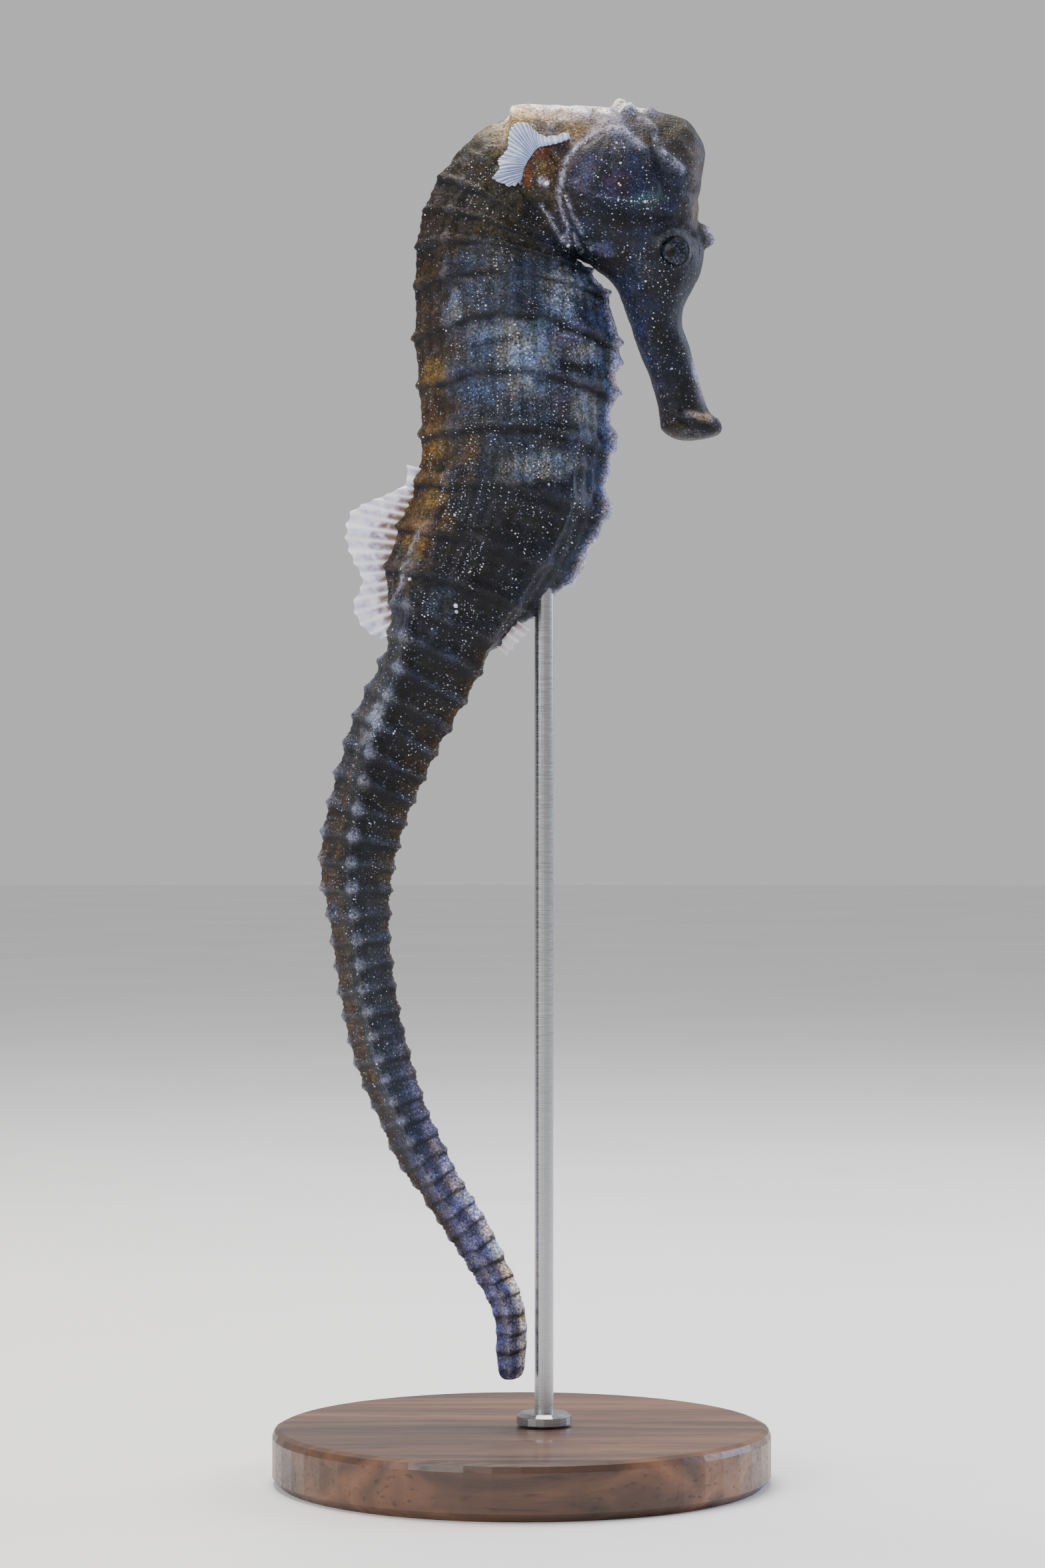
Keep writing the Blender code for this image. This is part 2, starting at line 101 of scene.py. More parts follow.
def linear(code: str) -> tuple[float, float, float, float]:
    """Linear colour of an sRGB hex code.

    Args:
        code: Six hex digits, with or without a leading hash.

    Returns:
        Red, green and blue in linear light, and an alpha of 1.
    """
    digits = code.lstrip("#")
    values = [int(digits[i : i + 2], 16) / 255.0 for i in (0, 2, 4)]
    turned = [v / 12.92 if v <= 0.04045 else ((v + 0.055) / 1.055) ** 2.4 for v in values]
    return (turned[0], turned[1], turned[2], 1.0)


def bell(distance: np.ndarray, width: np.ndarray | float) -> np.ndarray:
    """Bell curve: 1 where distance is 0, falling over the width."""
    return np.exp(-((distance / width) ** 2))


def ease(low: float, high: float, value: np.ndarray) -> np.ndarray:
    """Smooth step from 0 at low to 1 at high."""
    share = np.clip((value - low) / (high - low), 0.0, 1.0)
    return share * share * (3.0 - 2.0 * share)


def add_node(
    tree: bpy.types.NodeTree,
    kind: str,
    inputs: dict[Any, Any] | None = None,
    **settings: Any,
) -> bpy.types.Node:
    """Adds a node with its settings, and its inputs as values or links.

    Args:
        tree: Node tree that gets the node.
        kind: Blender's type name of the node.
        inputs: Input name or index, to a value or to the output socket to link.
        **settings: Properties of the node itself.

    Returns:
        The new node.
    """
    node = tree.nodes.new(kind)
    for name, value in settings.items():
        setattr(node, name, value)
    for key, value in (inputs or {}).items():
        if isinstance(value, bpy.types.NodeSocket):
            tree.links.new(value, node.inputs[key])
        else:
            node.inputs[key].default_value = value
    return node


# ---------------------------------------------------------------- finishes


Socket = bpy.types.NodeSocket


class Look:
    """A node material being made, with one method for each step that repeats.

    Attributes:
        material: The material.
        tree: Its node tree.
        place: Output socket of the Object coordinates, in metres.
    """

    def __init__(self, name: str) -> None:
        """Starts an empty material.

        Args:
            name: The real finish it stands for.
        """
        self.material = bpy.data.materials.new(name)
        self.material.use_nodes = True
        self.tree = self.material.node_tree
        self.tree.nodes.clear()
        self.place = add_node(self.tree, "ShaderNodeTexCoord").outputs["Object"]

    def read(self, name: str, output: str = "Fac") -> Socket:
        """Named attribute of the mesh, as a number or a colour."""
        return add_node(self.tree, "ShaderNodeAttribute", attribute_name=name).outputs[output]

    def stretched(self, scale: tuple[float, float, float]) -> Socket:
        """The Object coordinates, scaled on each axis."""
        node = add_node(self.tree, "ShaderNodeMapping", {"Vector": self.place, "Scale": scale})
        return node.outputs["Vector"]

    def noise(self, scale: float, detail: float, place: Any = None, **more: float) -> Socket:
        """Noise over the Object coordinates, or over another place.

        Args:
            scale: Lumps to a metre.
            detail: Octaves.
            place: Socket of other coordinates, or None.
            **more: Other inputs of the noise, by name.

        Returns:
            The noise, from 0 to 1.
        """
        inputs = {"Vector": place or self.place, "Scale": scale, "Detail": detail, **more}
        return add_node(self.tree, "ShaderNodeTexNoise", inputs).outputs["Fac"]

    def remap(
        self,
        value: Socket,
        source: tuple[float, float],
        target: tuple[float, float] = (0.0, 1.0),
    ) -> Socket:
        """Value carried from one range to another, held at the ends."""
        inputs = dict(zip(("From Min", "From Max", "To Min", "To Max"), source + target))
        node = add_node(self.tree, "ShaderNodeMapRange", {"Value": value, **inputs})
        return node.outputs["Result"]

    def math(self, operation: str, first: Any, second: Any) -> Socket:
        """One operation on two numbers or sockets."""
        inputs = {0: first, 1: second}
        return add_node(self.tree, "ShaderNodeMath", inputs, operation=operation).outputs[0]

    def times(self, colour: Socket, share: Socket) -> Socket:
        """Colour made lighter or darker by a share."""
        inputs = {0: colour, "Scale": share}
        return add_node(self.tree, "ShaderNodeVectorMath", inputs, operation="SCALE").outputs[0]

    def over(self, factor: Socket, under: Socket, code: str) -> Socket:
        """Lays a flat colour over another by a factor."""
        inputs = {"Factor": factor, "A": under, "B": linear(code)}
        return add_node(self.tree, "ShaderNodeMix", inputs, data_type="RGBA").outputs["Result"]

    def ramp(
        self, value: Socket, stops: tuple[tuple[float, str], ...]
    ) -> Socket:
        """Colour ramp over a value, from (place, hex) stops."""
        node = add_node(self.tree, "ShaderNodeValToRGB", {"Fac": value})
        elements = node.color_ramp.elements
        while len(elements) < len(stops):
            elements.new(0.5)
        for element, (place, code) in zip(elements, stops):
            element.position = place
            element.color = linear(code)
        return node.outputs["Color"]

    def close(
        self, inputs: dict[str, Any], height: Socket | None = None, depth_mm: float = 0.0
    ) -> bpy.types.Material:
        """Ends the material with a Principled surface.

        Args:
            inputs: The surface's inputs.
            height: Bump height, or None for none.
            depth_mm: Depth of the bump in millimetres.

        Returns:
            The finished material.
        """
        shader = add_node(self.tree, "ShaderNodeBsdfPrincipled", inputs)
        if height is not None:
            inputs = {"Strength": 1.0, "Distance": depth_mm * MM, "Height": height}
            bump = add_node(self.tree, "ShaderNodeBump", inputs)
            self.tree.links.new(bump.outputs["Normal"], shader.inputs["Normal"])
        add_node(self.tree, "ShaderNodeOutputMaterial", {"Surface": shader.outputs[0]})
        return self.material


@dataclass(frozen=True)
class PaintedSkin:
    """Airbrushed resin cast of ringed, granular fish skin, satin and slightly wet."""

    grain_mm: float = 0.27
    blotch_mm: float = 1.5
    speck_mm: float = 0.36
    warm_mm: float = 3.2
    plate_mm: float = 0.46
    bump_mm: float = 0.22
    middle: tuple[float, float] = (0.3, 0.7)

    def make(self) -> bpy.types.Material:
        """Builds the material: painted tint, blotches, net, specks, painted shade in creases, pale
        crests partly painted highlight, and a fine grain.
        """
        # Satin resin: dull broad lights that break on the grain, so it looks damp and not oily.
        look = Look("painted_resin_skin")
        blotch = look.noise(1.0 / (self.blotch_mm * MM), 5.0, Roughness=0.65)
        grain = look.noise(1.0 / (self.grain_mm * MM), 3.0, Roughness=0.6)
        shade = look.remap(blotch, self.middle, (0.4, 1.75))
        fine = look.remap(grain, self.middle, (0.15, 2.2))
        shaded = look.times(look.read("tint", "Color"), look.math("MULTIPLY", shade, fine))
        # Slow drift between cool and warm, as thin coats of paint give.
        warmth = look.noise(1.0 / (self.warm_mm * MM), 6.0, Roughness=0.75)
        warm = look.ramp(warmth, ((0.4, "#eef4ff"), (0.5, "#f4ead8"), (0.6, "#ffdfb0")))
        shaded = add_node(
            look.tree, "ShaderNodeVectorMath", {0: shaded, 1: warm}, operation="MULTIPLY"
        ).outputs[0]
        # Dark lines between small plates, so that the flank looks netted and not airbrushed flat.
        plates = self._cells(look, self.plate_mm, "DISTANCE_TO_EDGE").outputs["Distance"]
        shaded = look.times(shaded, look.remap(plates, (0.0, 0.3), (0.6, 1.3)))
        # Fine pale specks between the raised dots.
        cells = self._cells(look, self.speck_mm, "F1")
        speck = look.remap(cells.outputs["Distance"], (0.34, 0.16))
        chosen = add_node(
            look.tree, "ShaderNodeSeparateColor", {"Color": cells.outputs["Color"]}
        ).outputs["Red"]
        speckle = look.math("MULTIPLY", speck, look.remap(chosen, (0.6, 0.95), (0.0, 0.7)))
        colour = look.over(speckle, shaded, "#aeb6d6")
        # Painted shade: darker in the grooves, folds and ring lines of the relief, with dark radial
        # lines on the gill cover, from the crease attribute.
        colour = look.over(look.read("crease"), colour, "#0b0c14")
        # Pale crests, partly the skin's own pale ridges and partly painted highlight on raised
        # edges, break up into grains.
        grainy = look.remap(grain, (0.4, 0.58), (0.25, 1.5))
        colour = look.over(look.math("MULTIPLY", look.read("crest"), grainy), colour, "#c9cbe6")
        surface = {
            "Base Color": colour,
            "Roughness": look.remap(grain, self.middle, (0.38, 0.62)),
            "IOR": 1.4,
            "Specular IOR Level": 0.28,
            "Coat Weight": 0.06,
            "Coat Roughness": 0.2,
        }
        return look.close(surface, look.math("ADD", grain, speckle), self.bump_mm)

    @staticmethod
    def _cells(look: Look, pitch_mm: float, feature: str) -> bpy.types.Node:
        """Irregular cells over the skin."""
        inputs = {"Vector": look.place, "Scale": 1.0 / (pitch_mm * MM)}
        return add_node(look.tree, "ShaderNodeTexVoronoi", inputs, feature=feature)


@dataclass(frozen=True)
class PearlEnamel:
    """Small raised dots of glossy off-white enamel, bluish in the light."""

    spread_scale: float = 420.0

    def make(self) -> bpy.types.Material:
        """Builds the material, with a slight change of white from dot to dot."""
        # Glossy enamel: each dot catches its own tiny light and stands off the satin skin.
        look = Look("pearl_enamel_dots")
        spread = look.noise(self.spread_scale, 2.0)
        colour = look.ramp(spread, ((0.36, "#8d9cc4"), (0.5, "#c4cbe6"), (0.64, "#eef0f8")))
        surface = {
            "Base Color": colour,
            "Roughness": 0.3,
            "Coat Weight": 0.4,
            "Coat Roughness": 0.1,
        }
        return look.close(surface, spread, 0.02)


@dataclass(frozen=True)
class FinMembrane:
    """Thin frosted acetate membrane, milky between paler rays."""

    name: str
    clear: str
    milky: str
    root: str
    cloud_scale: float = 900.0

    def make(self) -> bpy.types.Material:
        """Builds the material from the fin's own share and ray attributes."""
        # Frosted film: light sinks in and spreads, so the fin glows where it is thin.
        look = Look(self.name)
        ray = look.read("ray")
        cloud = look.noise(self.cloud_scale, 4.0)
        film = look.ramp(cloud, ((0.35, self.clear), (0.65, self.milky)))
        lined = look.over(ray, film, "#f2f1fb")
        # Darker streaks run out from the root between the rays.
        uneven = look.math("ADD", look.read("share"), cloud)
        streak = look.remap(uneven, (0.78, 1.12), (1.0, 0.0))
        amount = look.math("MULTIPLY", streak, look.math("SUBTRACT", 1.0, ray))
        surface = {
            "Base Color": look.over(amount, lined, self.root),
            "Roughness": 0.35,
            "IOR": 1.48,
            "Subsurface Weight": 0.35,
            "Subsurface Radius": (0.0009, 0.0009, 0.0012),
            "Subsurface Scale": 1.0,
            "Coat Weight": 0.2,
        }
        return look.close(surface, cloud, 0.03)


@dataclass(frozen=True)
class GlassEye:
    """Glass eye: small black pupil, thin dull ring, iris flecked like the skin."""

    pupil_mm: float = 0.5
    ring_mm: float = 0.6
    fleck_scale: float = 3700.0

    def make(self) -> bpy.types.Material:
        """Builds the material from the eye's own distance-to-axis attribute."""
        # Waxed glass: a dark ball with one soft light, its flecks carrying on the skin's pattern.
        look = Look("glass_eye")
        axis = look.read("axis_mm")
        stops = ((0.36, "#07090f"), (0.48, "#151a26"), (0.58, "#262c3b"), (0.72, "#596178"))
        iris = look.ramp(look.noise(self.fleck_scale, 4.0), stops)
        ring = look.remap(axis, (self.ring_mm + 0.02, self.ring_mm - 0.04))
        pupil = look.remap(axis, (self.pupil_mm + 0.08, self.pupil_mm))
        surface = {
            "Base Color": look.over(pupil, look.over(ring, iris, "#262520"), "#030306"),
            "Roughness": 0.42,
            "IOR": 1.4,
            "Specular IOR Level": 0.25,
            "Coat Weight": 0.08,
            "Coat Roughness": 0.05,
        }
        return look.close(surface)


@dataclass(frozen=True)
class OiledWalnut:
    """Turned walnut, oiled: brown figure with darker pores along the grain."""

    grain_mm: float = 1.3

    def make(self) -> bpy.types.Material:
        """Builds the material, its grain running along X."""
        # Oiled wood: a low warm sheen that dips at the pores, quieter than the animal.
        look = Look("oiled_walnut")
        stretched = look.stretched((0.09, 1.0, 1.0))
        figure = look.noise(0.25 / (self.grain_mm * MM), 6.0, stretched, Distortion=0.6)
        pores = look.noise(2.5 / (self.grain_mm * MM), 3.0, stretched)
        stops = ((0.3, "#2a1a12"), (0.45, "#4a2f20"), (0.55, "#5e3d29"), (0.7, "#7a5238"))
        pitted = look.remap(pores, (0.4, 0.3), (0.0, 0.6))
        surface = {
            "Base Color": look.over(pitted, look.ramp(figure, stops), "#160c08"),
            "Roughness": look.remap(pores, (0.3, 0.7), (0.5, 0.34)),
            "Coat Weight": 0.15,
        }
        return look.close(surface, pores, 0.05)


@dataclass(frozen=True)
class BrushedSteel:
    """Stainless rod, brushed round: fine bands across its length."""

    band_mm: float = 0.08

    def make(self) -> bpy.types.Material:
        """Builds the material."""
        # Brushed metal: long soft grey lights, so that the rod stays in the background.
        look = Look("brushed_steel_rod")
        bands = look.noise(1.0 / (self.band_mm * MM), 4.0, look.stretched((0.05, 0.05, 1.0)))
        surface = {
            "Base Color": look.ramp(bands, ((0.3, "#a0a1a3"), (0.7, "#adaeb0"))),
            "Metallic": 1.0,
            "Roughness": look.remap(bands, (0.3, 0.7), (0.22, 0.38)),
        }
        return look.close(surface, bands, 0.002)


@dataclass(frozen=True)
class StudioPaper:
    """Pale matt background paper."""

    mottle_scale: float = 12.0

    def make(self) -> bpy.types.Material:
        """Builds the material with a faint mottle."""
        # Matt paper: an even pale ground with soft shadows and no reflection.
        look = Look("studio_paper")
        mottle = look.noise(self.mottle_scale, 3.0)
        colour = look.ramp(mottle, ((0.3, "#f0f0ee"), (0.7, "#f6f6f4")))
        return look.close({"Base Color": colour, "Roughness": 0.85})


# ---------------------------------------------------------------- body form


@dataclass(frozen=True)
class Ridge:
    """Raised line on both sides of the head or neck, as the side view shows it."""

    line: tuple[tuple[float, float], ...]
    width: float
    height: float
    # pale lightens the line, partly painted highlight on a raised edge; dark is painted shade in a
    # groove.
    pale: float = 0.0
    dark: float = 0.0


@dataclass(frozen=True)
class Dome:
    """Rounded swelling of both sides: place, radius and height."""

    x: float
    z: float
    radius: float
    height: float


@dataclass(frozen=True)
class Patch:
    """Soft-edged patch of colour on both sides: place, radii, turn and strength."""

    x: float
    z: float
    long: float
    short: float
    turn: float
    paint: Paint
    strength: float


@dataclass(frozen=True)
class BodyForm:
    """Sizes of the body: stations from the tail tip to the mouth.

    Each row of stations is a back point (x, z), a belly point (x, z) and a half
    width. Each row of a table is a place on the body and its values there.
    """

    stations: tuple[tuple[float, ...], ...] = (
        (-2.4, 12.1, 0.1, 12.3, 1.20),
        (-2.9, 14.9, 0.5, 15.5, 1.60),
        (-2.9, 18.0, 0.5, 18.5, 1.75),
        (-3.7, 20.7, -0.2, 21.9, 1.85),
        (-5.5, 24.0, -1.8, 25.6, 2.00),
        (-8.0, 27.8, -4.2, 30.5, 2.20),
        (-11.5, 33.2, -7.4, 35.6, 2.40),
        (-14.3, 37.2, -9.3, 39.5, 2.60),
        (-16.4, 41.9, -11.2, 43.6, 2.80),
        (-18.4, 46.5, -12.6, 48.0, 3.00),
        (-20.1, 52.1, -14.0, 53.3, 3.15),
        (-21.1, 57.5, -14.9, 58.2, 3.30),
        (-21.8, 62.5, -15.4, 62.9, 3.45),
        (-22.7, 67.6, -15.4, 67.7, 3.70),
        (-23.3, 72.2, -15.0, 71.2, 4.00),
        (-22.5, 77.3, -14.1, 75.3, 4.25),
        (-21.4, 82.3, -12.6, 79.0, 4.45),
        (-19.8, 87.7, -10.8, 83.3, 4.70),
        (-17.8, 92.4, -8.4, 87.7, 5.00),
        (-15.8, 96.6, -6.1, 91.8, 5.30),
        (-15.1, 101.1, -3.6, 96.5, 5.60),
        (-15.6, 105.4, 0.2, 100.4, 5.90),
        (-14.3, 110.6, 4.7, 104.5, 6.20),
        (-12.6, 115.0, 8.4, 110.4, 6.45),
        (-11.6, 118.7, 9.5, 115.9, 6.60),
        (-11.5, 122.4, 9.9, 120.7, 6.70),
        (-11.8, 127.3, 10.2, 126.6, 6.70),
        (-12.2, 132.7, 10.5, 132.1, 6.60),
        (-12.3, 137.5, 9.8, 136.9, 6.40),
        (-12.1, 142.4, 8.2, 140.0, 6.10),
        (-11.5, 146.5, 7.1, 141.4, 5.70),
        (-10.2, 149.9, 6.6, 141.9, 5.40),
        (-8.2, 153.4, 6.4, 142.1, 5.10),
        (-5.8, 155.9, 6.4, 142.1, 4.90),
        (-3.2, 158.3, 6.3, 142.1, 4.80),
        (-1.1, 159.9, 6.4, 142.1, 4.80),
        (3.6, 160.0, 6.5, 142.1, 5.00),
        (8.1, 159.8, 6.8, 142.0, 5.20),
        (11.8, 159.3, 7.3, 141.7, 5.30),
        (15.9, 159.1, 8.0, 141.4, 5.20),
        (19.3, 158.1, 8.8, 140.7, 4.90),
        (21.2, 155.0, 9.8, 140.0, 4.60),
        (20.8, 150.7, 10.7, 139.1, 4.40),
        (20.5, 146.8, 11.4, 137.9, 4.20),
        (21.2, 144.2, 12.0, 136.2, 4.00),
        (21.0, 141.2, 12.6, 134.4, 3.70),
        (19.9, 138.7, 13.1, 132.9, 3.20),
        (18.8, 136.4, 13.7, 131.3, 2.75),
        (18.7, 134.4, 14.3, 130.0, 2.40),
        (19.5, 131.9, 14.9, 128.4, 2.25),
        (20.3, 129.1, 15.4, 126.7, 2.20),
        (21.1, 126.3, 15.9, 124.8, 2.30),
        (21.8, 124.5, 16.1, 123.2, 2.50),
        (23.0, 123.2, 16.3, 122.2, 2.70),
        (23.5, 122.2, 17.3, 121.4, 2.50),
    )
    twist: tuple[tuple[float, float], ...] = ((0, 38), (14, 38), (19, 14), (22, 0), (54, 0))
    facet: tuple[tuple[float, float], ...] = (
        (0, 0.55),
        (17, 0.6),
        (22, 0.75),
        (30, 0.65),
        (34, 0.25),
        (54, 0.0),
    )
    # Ring lines of the trunk: place on the back, number of the ring.
    rings: tuple[tuple[float, float], ...] = (
        (20.23, 0.0),
        (21.18, 1.0),
        (22.09, 2.0),
        (23.31, 3.0),
        (24.85, 4.0),
        (26.0, 5.0),
        (27.05, 6.0),
        (28.27, 7.0),
        (29.25, 8.0),
        (30.32, 9.0),
        (31.44, 10.0),
        (32.56, 11.0),
        (34.0, 12.0),
    )
    # How far a ring line bows towards the head in the middle of the side, in rings.
    bow: tuple[tuple[float, float], ...] = (
        (0, 0.0),
        (19, 0.05),
        (23, 0.15),
        (26, 0.35),
        (28, 0.55),
        (31, 0.3),
        (34, 0.0),
        (54, 0.0),
    )
    tail_ring_top: float = 3.65
    tail_ring_tip: float = 1.95
    ring_height: tuple[tuple[float, float], ...] = (
        (0, 0.03),
        (4, 0.12),
        (12, 0.2),
        (19, 0.3),
        (24, 0.48),
        (30, 0.42),
        (33, 0.15),
        (34, 0.0),
        (54, 0.0),
    )
    knob_height: tuple[tuple[float, float], ...] = (
        (0, 0.0),
        (5, 0.1),
        (12, 0.26),
        (19, 0.32),
        (24, 0.3),
        (30, 0.22),
        (33, 0.1),
        (34, 0.0),
        (54, 0.0),
    )


SECTION_SHAPES: dict[str, tuple[tuple[float, float], ...]] = {
    "tail": ((-1.0, 0.0), (-1.0, 1.0), (0.0, 1.0), (1.0, 1.0), (1.0, 0.0)),
    "trunk": ((-1.0, 0.0), (-0.66, 0.66), (0.02, 1.0), (0.66, 0.68), (1.0, 0.0)),
    "head": ((-1.0, 0.0), (-0.74, 0.62), (-0.1, 1.0), (0.6, 0.78), (1.0, 0.0)),
    "snout": ((-1.0, 0.0), (-0.71, 0.71), (0.0, 1.0), (0.71, 0.71), (1.0, 0.0)),
}
SECTION_AT: tuple[tuple[float, str], ...] = (
    (0, "tail"),
    (17, "tail"),
    (22, "trunk"),
    (29, "trunk"),
    (34, "head"),
    (45, "head"),
    (49, "snout"),
    (54, "snout"),
)


def table_at(table: tuple[tuple[float, float], ...], u: np.ndarray) -> np.ndarray:
    """Values of a (place, value) table at places on the body."""
    return np.interp(u, [row[0] for row in table], [row[1] for row in table])


def spline(rows: Any, u: np.ndarray) -> np.ndarray:
    """Smooth curve through rows of numbers, one row to each whole u.

    Args:
        rows: Table of any width.
        u: Places, from 0 to the number of rows less one.

    Returns:
        One row of numbers for each place.
    """
    table = np.asarray(rows, float)
    i = np.clip(np.floor(u).astype(int), 0, len(table) - 2)
    t = (u - i)[:, None]
    a, b = table[i], table[i + 1]
    before = table[np.maximum(i - 1, 0)]
    after = table[np.minimum(i + 2, len(table) - 1)]
    return 0.5 * (
        2.0 * a
        + (b - before) * t
        + (2.0 * before - 5.0 * a + 4.0 * b - after) * t**2
        + (3.0 * (a - b) + after - before) * t**3
    )


def line_distance(x: np.ndarray, z: np.ndarray, line: Any) -> np.ndarray:
    """Distance of side-view points from an open line of points."""
    best = np.full(x.shape, 1e9)
    points = np.asarray(line, float)
    for a, b in zip(points[:-1], points[1:]):
        step = b - a
        t = ((x - a[0]) * step[0] + (z - a[1]) * step[1]) / max(step @ step, 1e-9)
        t = np.clip(t, 0.0, 1.0)
        best = np.minimum(best, np.hypot(x - a[0] - t * step[0], z - a[1] - t * step[1]))
    return best


class BodyGrid:
    """Fine grid over the body's bare form, with the measures that follow it.

    Attributes:
        u: Place of each ring of points.
        depth: From -1 on the back to 1 on the belly, for each point.
        points: Points in millimetres.
        normals: Outward unit normals.
        around: Distance round the body from the middle of the back.
        ring: Ring number, whole on the crest of a bony ring.
        corner: Distance to the nearest lengthwise ridge, for each of eight.
    """

    per_corner = 20

    def __init__(self, form: BodyForm) -> None:
        """Lofts the grid.

        Args:
            form: The body's sizes.
        """
        self.form = form
        self.columns = 8 * self.per_corner
        self.u = self._places()
        rows = spline(form.stations, self.u)
        outline = self._outlines()
        back, belly, half = rows[:, 0:2], rows[:, 2:4], rows[:, 4]
        middle, down = (back + belly) / 2, (belly - back) / 2
        self.half = half
        self.depth = outline[..., 0]
        self.points = np.empty((len(self.u), self.columns, 3))
        self.points[..., 0] = middle[:, :1] + outline[..., 0] * down[:, :1]
        self.points[..., 1] = -outline[..., 1] * half[:, None]
        self.points[..., 2] = middle[:, 1:] + outline[..., 0] * down[:, 1:]
        self.cap(self.points)
        self.normals = self.normals_of(self.points)
        self._measure(back, belly)

    def _places(self) -> np.ndarray:
        """Places of the rings, closer where the form is fine."""
        stations = np.asarray(self.form.stations)
        fine = np.linspace(0.0, len(stations) - 1.0, 5401)
        rows = spline(stations, fine)
        back = np.hypot(*np.diff(rows[:, 0:2], axis=0).T)
        belly = np.hypot(*np.diff(rows[:, 2:4], axis=0).T)
        marks = (0.0, 16.0, 19.0, 31.0, 34.0, 47.0, 50.0, 54.0)
        sizes = (0.30, 0.32, 0.36, 0.36, 0.29, 0.29, 0.27, 0.17)
        pitch = np.interp(fine[1:], marks, sizes)
        count = np.concatenate([[0.0], np.cumsum(np.maximum(back, belly) / pitch)])
        wanted = np.linspace(0.0, count[-1], int(count[-1]) + 1)
        return np.interp(wanted, count, fine)

    def _outlines(self) -> np.ndarray:
        """Unit cross-section of every ring: depth and width of each point."""
        names = [row[1] for row in SECTION_AT]
        starts = np.array([row[0] for row in SECTION_AT], float)
        full = []
        for name in names:
            half = np.array(SECTION_SHAPES[name])
            full.append(np.vstack([half, half[3:0:-1] * (1.0, -1.0)]))
        shapes = np.array(full)
        i = np.clip(np.searchsorted(starts, self.u, side="right") - 1, 0, len(starts) - 2)
        share = ((self.u - starts[i]) / (starts[i + 1] - starts[i]))[:, None, None]
        corners = (1.0 - share) * shapes[i] + share * shapes[i + 1]
        turn = np.radians(table_at(self.form.twist, self.u))[:, None]
        depth = corners[..., 0] * np.cos(turn) + corners[..., 1] * np.sin(turn)
        width = corners[..., 1] * np.cos(turn) - corners[..., 0] * np.sin(turn)
        low, high = depth.min(axis=1, keepdims=True), depth.max(axis=1, keepdims=True)
        depth = (depth - low) / (high - low) * 2.0 - 1.0
        width = width / np.abs(width).max(axis=1, keepdims=True)
        corners = np.stack([depth, width], axis=2)
        facet = table_at(self.form.facet, self.u)[:, None]
        outline = np.empty((len(self.u), self.columns, 2))
        for k in range(8):
            a, b, c, d = (corners[:, (k + j) % 8] for j in (-1, 0, 1, 2))
            for step in range(self.per_corner):
                t = step / self.per_corner
                curved = 0.5 * (
                    2.0 * b
                    + (c - a) * t
                    + (2.0 * a - 5.0 * b + 4.0 * c - d) * t**2
                    + (3.0 * (b - c) + d - a) * t**3
                )
                straight = (1.0 - t) * b + t * c
                outline[:, k * self.per_corner + step] = facet * straight + (1 - facet) * curved
        return outline

    def cap(self, points: np.ndarray) -> None:
        """Draws the first and last rings in, to round both ends of the body."""
        last = len(points) - 1
        for rows, reach in ((list(range(6)), 1.7), (list(range(last, last - 9, -1)), 2.1)):
            step = 1 if rows[0] == 0 else -1
            inner = points[rows[-1]]
            middle = inner.mean(axis=0)
            ahead = middle - points[rows[-1] + 2 * step].mean(axis=0)
            ahead /= np.linalg.norm(ahead)
            for i, row in enumerate(rows[:-1]):
                turn = math.pi / 2 * (1.0 - (i + 0.3) / (len(rows) - 0.7))
                shrunk = middle + (inner - middle) * math.cos(turn) ** 0.6
                points[row] = shrunk + ahead * reach * math.sin(turn)

    def normals_of(self, points: np.ndarray) -> np.ndarray:
        """Outward unit normals of a grid of points."""
        along = np.gradient(points, axis=0)
        across = np.roll(points, -1, axis=1) - np.roll(points, 1, axis=1)
        normal = np.cross(across, along)
        normal /= np.maximum(np.linalg.norm(normal, axis=2, keepdims=True), 1e-9)
        outward = points - points.mean(axis=1, keepdims=True)
        if (normal * outward).sum() < 0.0:
            normal = -normal
        return normal

    def _measure(self, back: np.ndarray, belly: np.ndarray) -> None:
        """Works out the distances and the ring numbers over the grid."""
        closed = np.concatenate([self.points, self.points[:, :1]], axis=1)
        step = np.linalg.norm(np.diff(closed, axis=1), axis=2)
        self.around = np.concatenate([np.zeros((len(step), 1)), np.cumsum(step, axis=1)], axis=1)
        total = self.around[:, -1:]
        here = self.around[:, :-1]
        self.corner = np.empty((8, *here.shape))
        for k in range(8):
            away = np.abs(here - here[:, k * self.per_corner][:, None])
            self.corner[k] = np.minimum(away, total - away)
        self.signed = here
        line = back * 0.65 + belly * 0.35
        arc = np.concatenate([[0.0], np.cumsum(np.hypot(*np.diff(line, axis=0).T))])
        self.arc = arc
        first = np.interp(self.form.rings[0][0], self.u, arc)
        slope = (self.form.tail_ring_top - self.form.tail_ring_tip) / first
        behind = np.minimum(arc - first, 0.0)
        tail = np.log(1.0 + slope * behind / self.form.tail_ring_top) / slope
        number = np.where(arc < first, tail, table_at(self.form.rings, self.u))
        bow = table_at(self.form.bow, self.u)[:, None] * (1.0 - self.depth**2)
        self.ring = number[:, None] - bow
        self.ring_pitch = np.where(
            arc < first, self.form.tail_ring_top + slope * behind, 5.3
        )[:, None]

    def beyond(self, k: int) -> np.ndarray:
        """Distance from a lengthwise ridge, growing towards the belly."""
        away = self.signed - self.signed[:, k * self.per_corner][:, None]
        return away if k < 4 else -away

    def near_ridge(self) -> np.ndarray:
        """Where the two upper ridges and the belly are, from 0 to 1."""
        return np.clip(bell(self.corner[1], 1.2) + bell(self.corner[7], 1.2) + 0.3, 0.0, 1.0)


